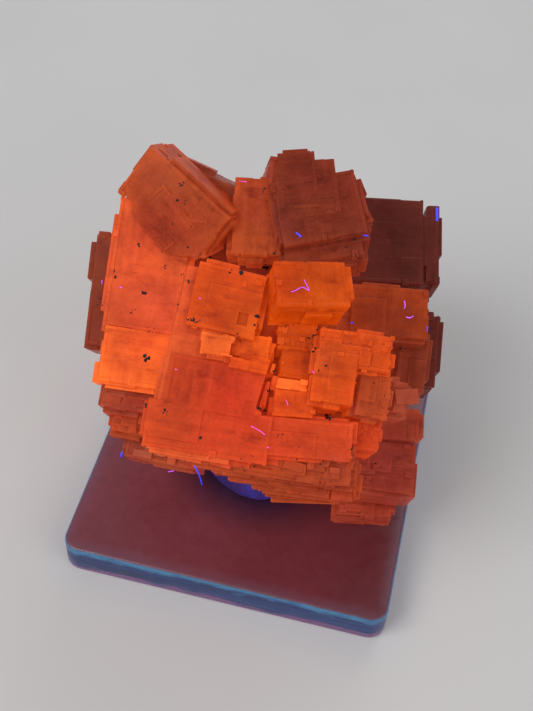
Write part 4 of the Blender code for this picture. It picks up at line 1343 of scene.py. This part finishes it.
class HALITE_OT_putty(bpy.types.Operator):
    """Press the cluster into the lumpy blob of mounting putty"""
    bl_idname = "halite.putty"
    bl_label = "Mounting putty"

    def execute(self, context):
        settings = context.scene.putty_settings
        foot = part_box("mounting_putty")[0].z
        top = foot + PUTTY_HEIGHT + PUTTY_LUMP
        margin = Vector((1, 1, 1)) * TOUCH_GAP
        press = [chamfered_block(low - margin, high + margin, crystal_frame(crystal), CHAMFER_MAIN)
                 for crystal in CLUSTER_CRYSTALS if lowest_point(crystal) < top
                 for low, high in crystal_blocks(crystal)]
        item = collection_object(carve("putty", [putty_blob(foot, settings.lump)], press), "lumpy_putty")
        smooth(item, PUTTY_SHARP_ANGLE)
        plain_piece("lumpy_putty", putty_material(settings), ("mounting_putty",))
        return {"FINISHED"}


def climb_of(edge):
    """Return how far an edge climbs."""
    return abs(edge.verts[0].co.z - edge.verts[1].co.z)


class HALITE_OT_base(bpy.types.Operator):
    """Shape the square acrylic base with rounded corners and softened edges"""
    bl_idname = "halite.base"
    bl_label = "Acrylic base"

    def execute(self, context):
        low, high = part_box("acrylic_base")
        bm = box_bmesh(low, high)
        uprights = [edge for edge in bm.edges if climb_of(edge) > (high - low).z / 2]
        round_edges(bm, uprights, BASE_CORNER_RADIUS, BASE_CORNER_SEGMENTS)
        rims = [edge for edge in bm.edges if climb_of(edge) < WELD]
        round_edges(bm, rims, BASE_EDGE_ROUND, BASE_EDGE_SEGMENTS)
        item = collection_object(bm, "rounded_base")
        smooth(item, BASE_SHARP_ANGLE)
        material = acrylic_material(context.scene.base_settings, low, high)
        plain_piece("rounded_base", material, ("acrylic_base",))
        return {"FINISHED"}


def picture_ray(pixel):
    """Return the eye's place and the direction in which it sees a pixel of the picture."""
    across = (pixel[0] - PICTURE_WIDE / 2) / FOCAL_PIXELS
    up = (PICTURE_TALL / 2 - pixel[1]) / FOCAL_PIXELS
    eye = eye_matrix()
    return eye.translation, (eye.to_3x3() @ Vector((across, up, -1.0))).normalized()


def nearest_hit(surfaces, start, direction):
    """Return the first point and normal that a ray meets on any of the surfaces."""
    hits = [surface.ray_cast(start, direction) for surface in surfaces]
    hits = [hit for hit in hits if hit[0] is not None]
    if not hits:
        return None
    place, normal, _, _ = min(hits, key=lambda hit: hit[3])
    return place, normal


def surface_of(item):
    """Return an object's surface for rays to meet."""
    return BVHTree.FromObject(item, bpy.context.evaluated_depsgraph_get())


def patch_centres(surface):
    """Return each soft patch with its middle on the crystals."""
    hits = [(patch, nearest_hit([surface], *picture_ray(patch.pixel))) for patch in PATCHES]
    return [(patch, hit[0]) for patch, hit in hits if hit is not None]


def dusty_surfaces():
    """Return the surfaces that dirt lies on."""
    return [surface_of(bpy.data.objects[name])
            for name in ("halite_crystals", "lumpy_putty", "rounded_base")]


def hidden_start(rng):
    """Return a point well outside the cluster, behind or beside it, and the direction inwards."""
    heading = math.radians(rng.uniform(*HIDDEN_HEADING)) + SHOW_AZIMUTH
    climb = math.radians(rng.uniform(*HIDDEN_CLIMB))
    level = math.cos(climb)
    outward = Vector((math.cos(heading) * level, math.sin(heading) * level, math.sin(climb)))
    aim = CLUSTER_CENTRE + Vector(draws(rng, -HIDDEN_AIM, HIDDEN_AIM, MM))
    return aim + outward * HIDDEN_DISTANCE, -outward


def fibre_mesh(points, radius):
    """Return a round thread through the points as a mesh."""
    curve = bpy.data.curves.new("thread", "CURVE")
    curve.dimensions = "3D"
    curve.bevel_depth = radius
    curve.bevel_resolution = FIBRE_ROUNDNESS
    curve.use_fill_caps = True
    curve.resolution_u = FIBRE_SMOOTHNESS
    spline = curve.splines.new("NURBS")
    spline.points.add(len(points) - 1)
    for knot, place in zip(spline.points, points):
        knot.co = (*place, 1.0)
    spline.use_endpoint_u = True
    spline.order_u = min(4, len(points))
    item = bpy.data.objects.new("thread", curve)
    bpy.context.scene.collection.objects.link(item)
    evaluated = item.evaluated_get(bpy.context.evaluated_depsgraph_get())
    mesh = bpy.data.meshes.new_from_object(evaluated)
    bpy.data.objects.remove(item, do_unlink=True)
    bpy.data.curves.remove(curve)
    return mesh


def seen(surfaces, place):
    """Tell whether the picture's eye sees a place on one of the surfaces."""
    eye = eye_matrix().translation
    hit = nearest_hit(surfaces, eye, (place - eye).normalized())
    return hit is not None and (hit[0] - place).length < MM


def hidden_fibre(rng, surfaces):
    """Return the points of a fibre on a hidden side, or None where it would hang in the air."""
    start, direction = hidden_start(rng)
    sideways = direction.orthogonal().normalized()
    sideways.rotate(Matrix.Rotation(rng.uniform(0, 2 * math.pi), 3, direction))
    points = []
    for step in range(HIDDEN_FIBRE_KNOTS):
        bend = math.sin(step * HIDDEN_FIBRE_CURL) * HIDDEN_FIBRE_LENGTH / 8
        shift = (sideways * step * HIDDEN_FIBRE_LENGTH / (HIDDEN_FIBRE_KNOTS - 1)
                 + direction.cross(sideways) * bend)
        hit = nearest_hit(surfaces, start + shift, direction)
        if hit is None:
            return None
        points.append(hit[0] + hit[1] * FIBRE_LIFT)
    reach = max((second - first).length for first, second in zip(points, points[1:]))
    if reach > HIDDEN_FIBRE_LENGTH / 2 or any(seen(surfaces, place) for place in points):
        return None
    return points


class HALITE_OT_lint(bpy.types.Operator):
    """Lay glowing lint fibres on the specimen"""
    bl_idname = "halite.lint"
    bl_label = "Lint fibres"

    def execute(self, context):
        settings = context.scene.dirt_settings
        surfaces = dusty_surfaces()
        threads = []
        for fibre in FIBRES:
            hits = [nearest_hit(surfaces, *picture_ray(pixel)) for pixel in fibre.pixels]
            points = [hit[0] + hit[1] * FIBRE_LIFT for hit in hits if hit is not None]
            if len(points) > 1:
                threads.append((points, fibre.thickness * MM / 2, fibre.dye))
        rng = random.Random(DIRT_SEED)
        while len(threads) < len(FIBRES) + HIDDEN_FIBRES:
            points = hidden_fibre(rng, surfaces)
            if points:
                radius = between(rng, HIDDEN_FIBRE_RADIUS)
                threads.append((points, radius, rng.choice(("violet", "pink", "blue"))))
        bm = bmesh.new()
        dyes = []
        for points, radius, dye in threads:
            mesh = fibre_mesh(points, radius)
            bm.from_mesh(mesh)
            bpy.data.meshes.remove(mesh)
            dyes += [(*getattr(settings, dye), 1.0)] * (len(bm.verts) - len(dyes))
        item = collection_object(bm, "lint_fibres")
        dye_values = item.data.attributes.new("dye", "FLOAT_COLOR", "POINT").data
        dye_values.foreach_set("color", np.ravel(dyes))
        item.data.shade_smooth()
        plain_piece("lint_fibres", lint_material(settings))
        return {"FINISHED"}


def add_grain(bm, rng, place, normal, size):
    """Add one small flattened grain that sits in the surface."""
    halves = [size * rng.uniform(*GRAIN_HALF) for _ in range(2)]
    flat = Matrix.Diagonal((*halves, size * GRAIN_HEIGHT, 1.0))
    spin = Matrix.Rotation(rng.uniform(0, GRAIN_SPIN), 4, "Z")
    turn = normal.to_track_quat("Z", "Y").to_matrix().to_4x4() @ spin
    made = bmesh.ops.create_icosphere(bm, subdivisions=1, radius=1.0,
                                      matrix=Matrix.Translation(place) @ turn @ flat)
    for vert in made["verts"]:
        vert.co += Vector(draws(rng, -1, 1)) * size * GRAIN_UNEVEN


class HALITE_OT_grains(bpy.types.Operator):
    """Scatter dark grains over the crystals"""
    bl_idname = "halite.grains"
    bl_label = "Dark grains"

    def execute(self, context):
        surfaces = dusty_surfaces()[:1]
        rng = random.Random(DIRT_SEED)
        bm = bmesh.new()
        for group in GRAINS:
            for _ in range(group.count):
                pixel = [middle + rng.gauss(0, group.reach / 2) for middle in group.pixel]
                hit = nearest_hit(surfaces, *picture_ray(pixel))
                size = group.size * rng.uniform(*GRAIN_SPREAD) * MM
                if hit is not None:
                    add_grain(bm, rng, hit[0], hit[1], size)
        for _ in range(HIDDEN_GRAINS):
            hit = nearest_hit(surfaces, *hidden_start(rng))
            size = between(rng, HIDDEN_GRAIN_SIZE)
            if hit is not None and not seen(surfaces, hit[0]):
                add_grain(bm, rng, hit[0], hit[1], size)
        collection_object(bm, "dark_grains")
        plain_piece("dark_grains", grain_material(context.scene.dirt_settings))
        return {"FINISHED"}


def eye_matrix():
    """Return the place and turn of the camera."""
    turn = show_side()
    return Matrix.Translation(CLUSTER_CENTRE + turn.to_3x3() @ EYE) @ turn


def soft_light(name, place, aim, size, power):
    """Add one large area light that looks at a point."""
    light = bpy.data.lights.new(name, "AREA")
    light.shape = "SQUARE"
    light.size = size
    light.energy = power
    item = bpy.data.objects.new(name, light)
    item.location = place
    item.rotation_euler = (Vector(aim) - Vector(place)).to_track_quat("-Z", "Y").to_euler()
    bpy.context.scene.collection.objects.link(item)


class HALITE_OT_stage(bpy.types.Operator):
    """Add the floor, the soft lights and the camera"""
    bl_idname = "halite.stage"
    bl_label = "Stage"

    def execute(self, context):
        settings = context.scene.stage_settings
        scene = context.scene
        bm = bmesh.new()
        bmesh.ops.create_grid(bm, x_segments=1, y_segments=1, size=FLOOR_HALF)
        floor = collection_object(bm, "floor")
        material, tree, shader = new_material("floor")
        dust = noise(tree, object_place(tree), *FLOOR_DUST)
        feed(tree, shader.inputs["Base Color"],
             shaded(tree, tuple(settings.floor), dust, *FLOOR_SHADE))
        feed(tree, shader.inputs["Roughness"], FLOOR_ROUGHNESS)
        floor.data.materials.append(material)

        world = bpy.data.worlds.new("studio")
        world.use_nodes = True
        backdrop = world.node_tree.nodes["Background"]
        backdrop.inputs["Color"].default_value = BACKDROP
        backdrop.inputs["Strength"].default_value = BACKDROP_SHARE * settings.light
        scene.world = world
        for name, place, size, power in SOFT_LIGHTS:
            soft_light(name, place, CLUSTER_CENTRE, size, power * settings.light)

        lens = bpy.data.cameras.new("camera")
        lens.sensor_width = SENSOR_LONG_SIDE
        lens.lens = FOCAL_PIXELS / PICTURE_TALL * SENSOR_LONG_SIDE
        lens.clip_start = NEAREST_SEEN
        camera = bpy.data.objects.new("camera", lens)
        camera.matrix_world = eye_matrix()
        scene.collection.objects.link(camera)
        scene.camera = camera
        scene.view_settings.view_transform = "Standard"
        return {"FINISHED"}


class HALITE_PT_panel(bpy.types.Panel):
    """List the operators and the settings of the specimen."""
    bl_label = "Halite specimen"
    bl_idname = "HALITE_PT_panel"
    bl_space_type = "VIEW_3D"
    bl_region_type = "UI"
    bl_category = "Halite"

    def draw(self, context):
        for operator in OPERATORS:
            self.layout.operator(operator.bl_idname)
        for group in SETTINGS:
            box = self.layout.box()
            for name in SETTINGS[group].__annotations__:
                box.prop(getattr(context.scene, group), name)


SETTINGS = {
    "halite_settings": HaliteSettings,
    "putty_settings": PuttySettings,
    "base_settings": BaseSettings,
    "dirt_settings": DirtSettings,
    "stage_settings": StageSettings,
}
OPERATORS = (HALITE_OT_cluster, HALITE_OT_putty, HALITE_OT_base, HALITE_OT_lint, HALITE_OT_grains,
             HALITE_OT_stage)
CLASSES = (*SETTINGS.values(), *OPERATORS, HALITE_PT_panel)


def register():
    for item in CLASSES:
        bpy.utils.register_class(item)
    for name, group in SETTINGS.items():
        setattr(bpy.types.Scene, name, bpy.props.PointerProperty(type=group))


def unregister():
    for name in SETTINGS:
        delattr(bpy.types.Scene, name)
    for item in reversed(CLASSES):
        bpy.utils.unregister_class(item)


def main():
    register()
    bpy.ops.halite.cluster()
    bpy.ops.halite.putty()
    bpy.ops.halite.base()
    bpy.ops.halite.lint()
    bpy.ops.halite.grains()
    bpy.ops.halite.stage()


if __name__ == "__main__":
    main()
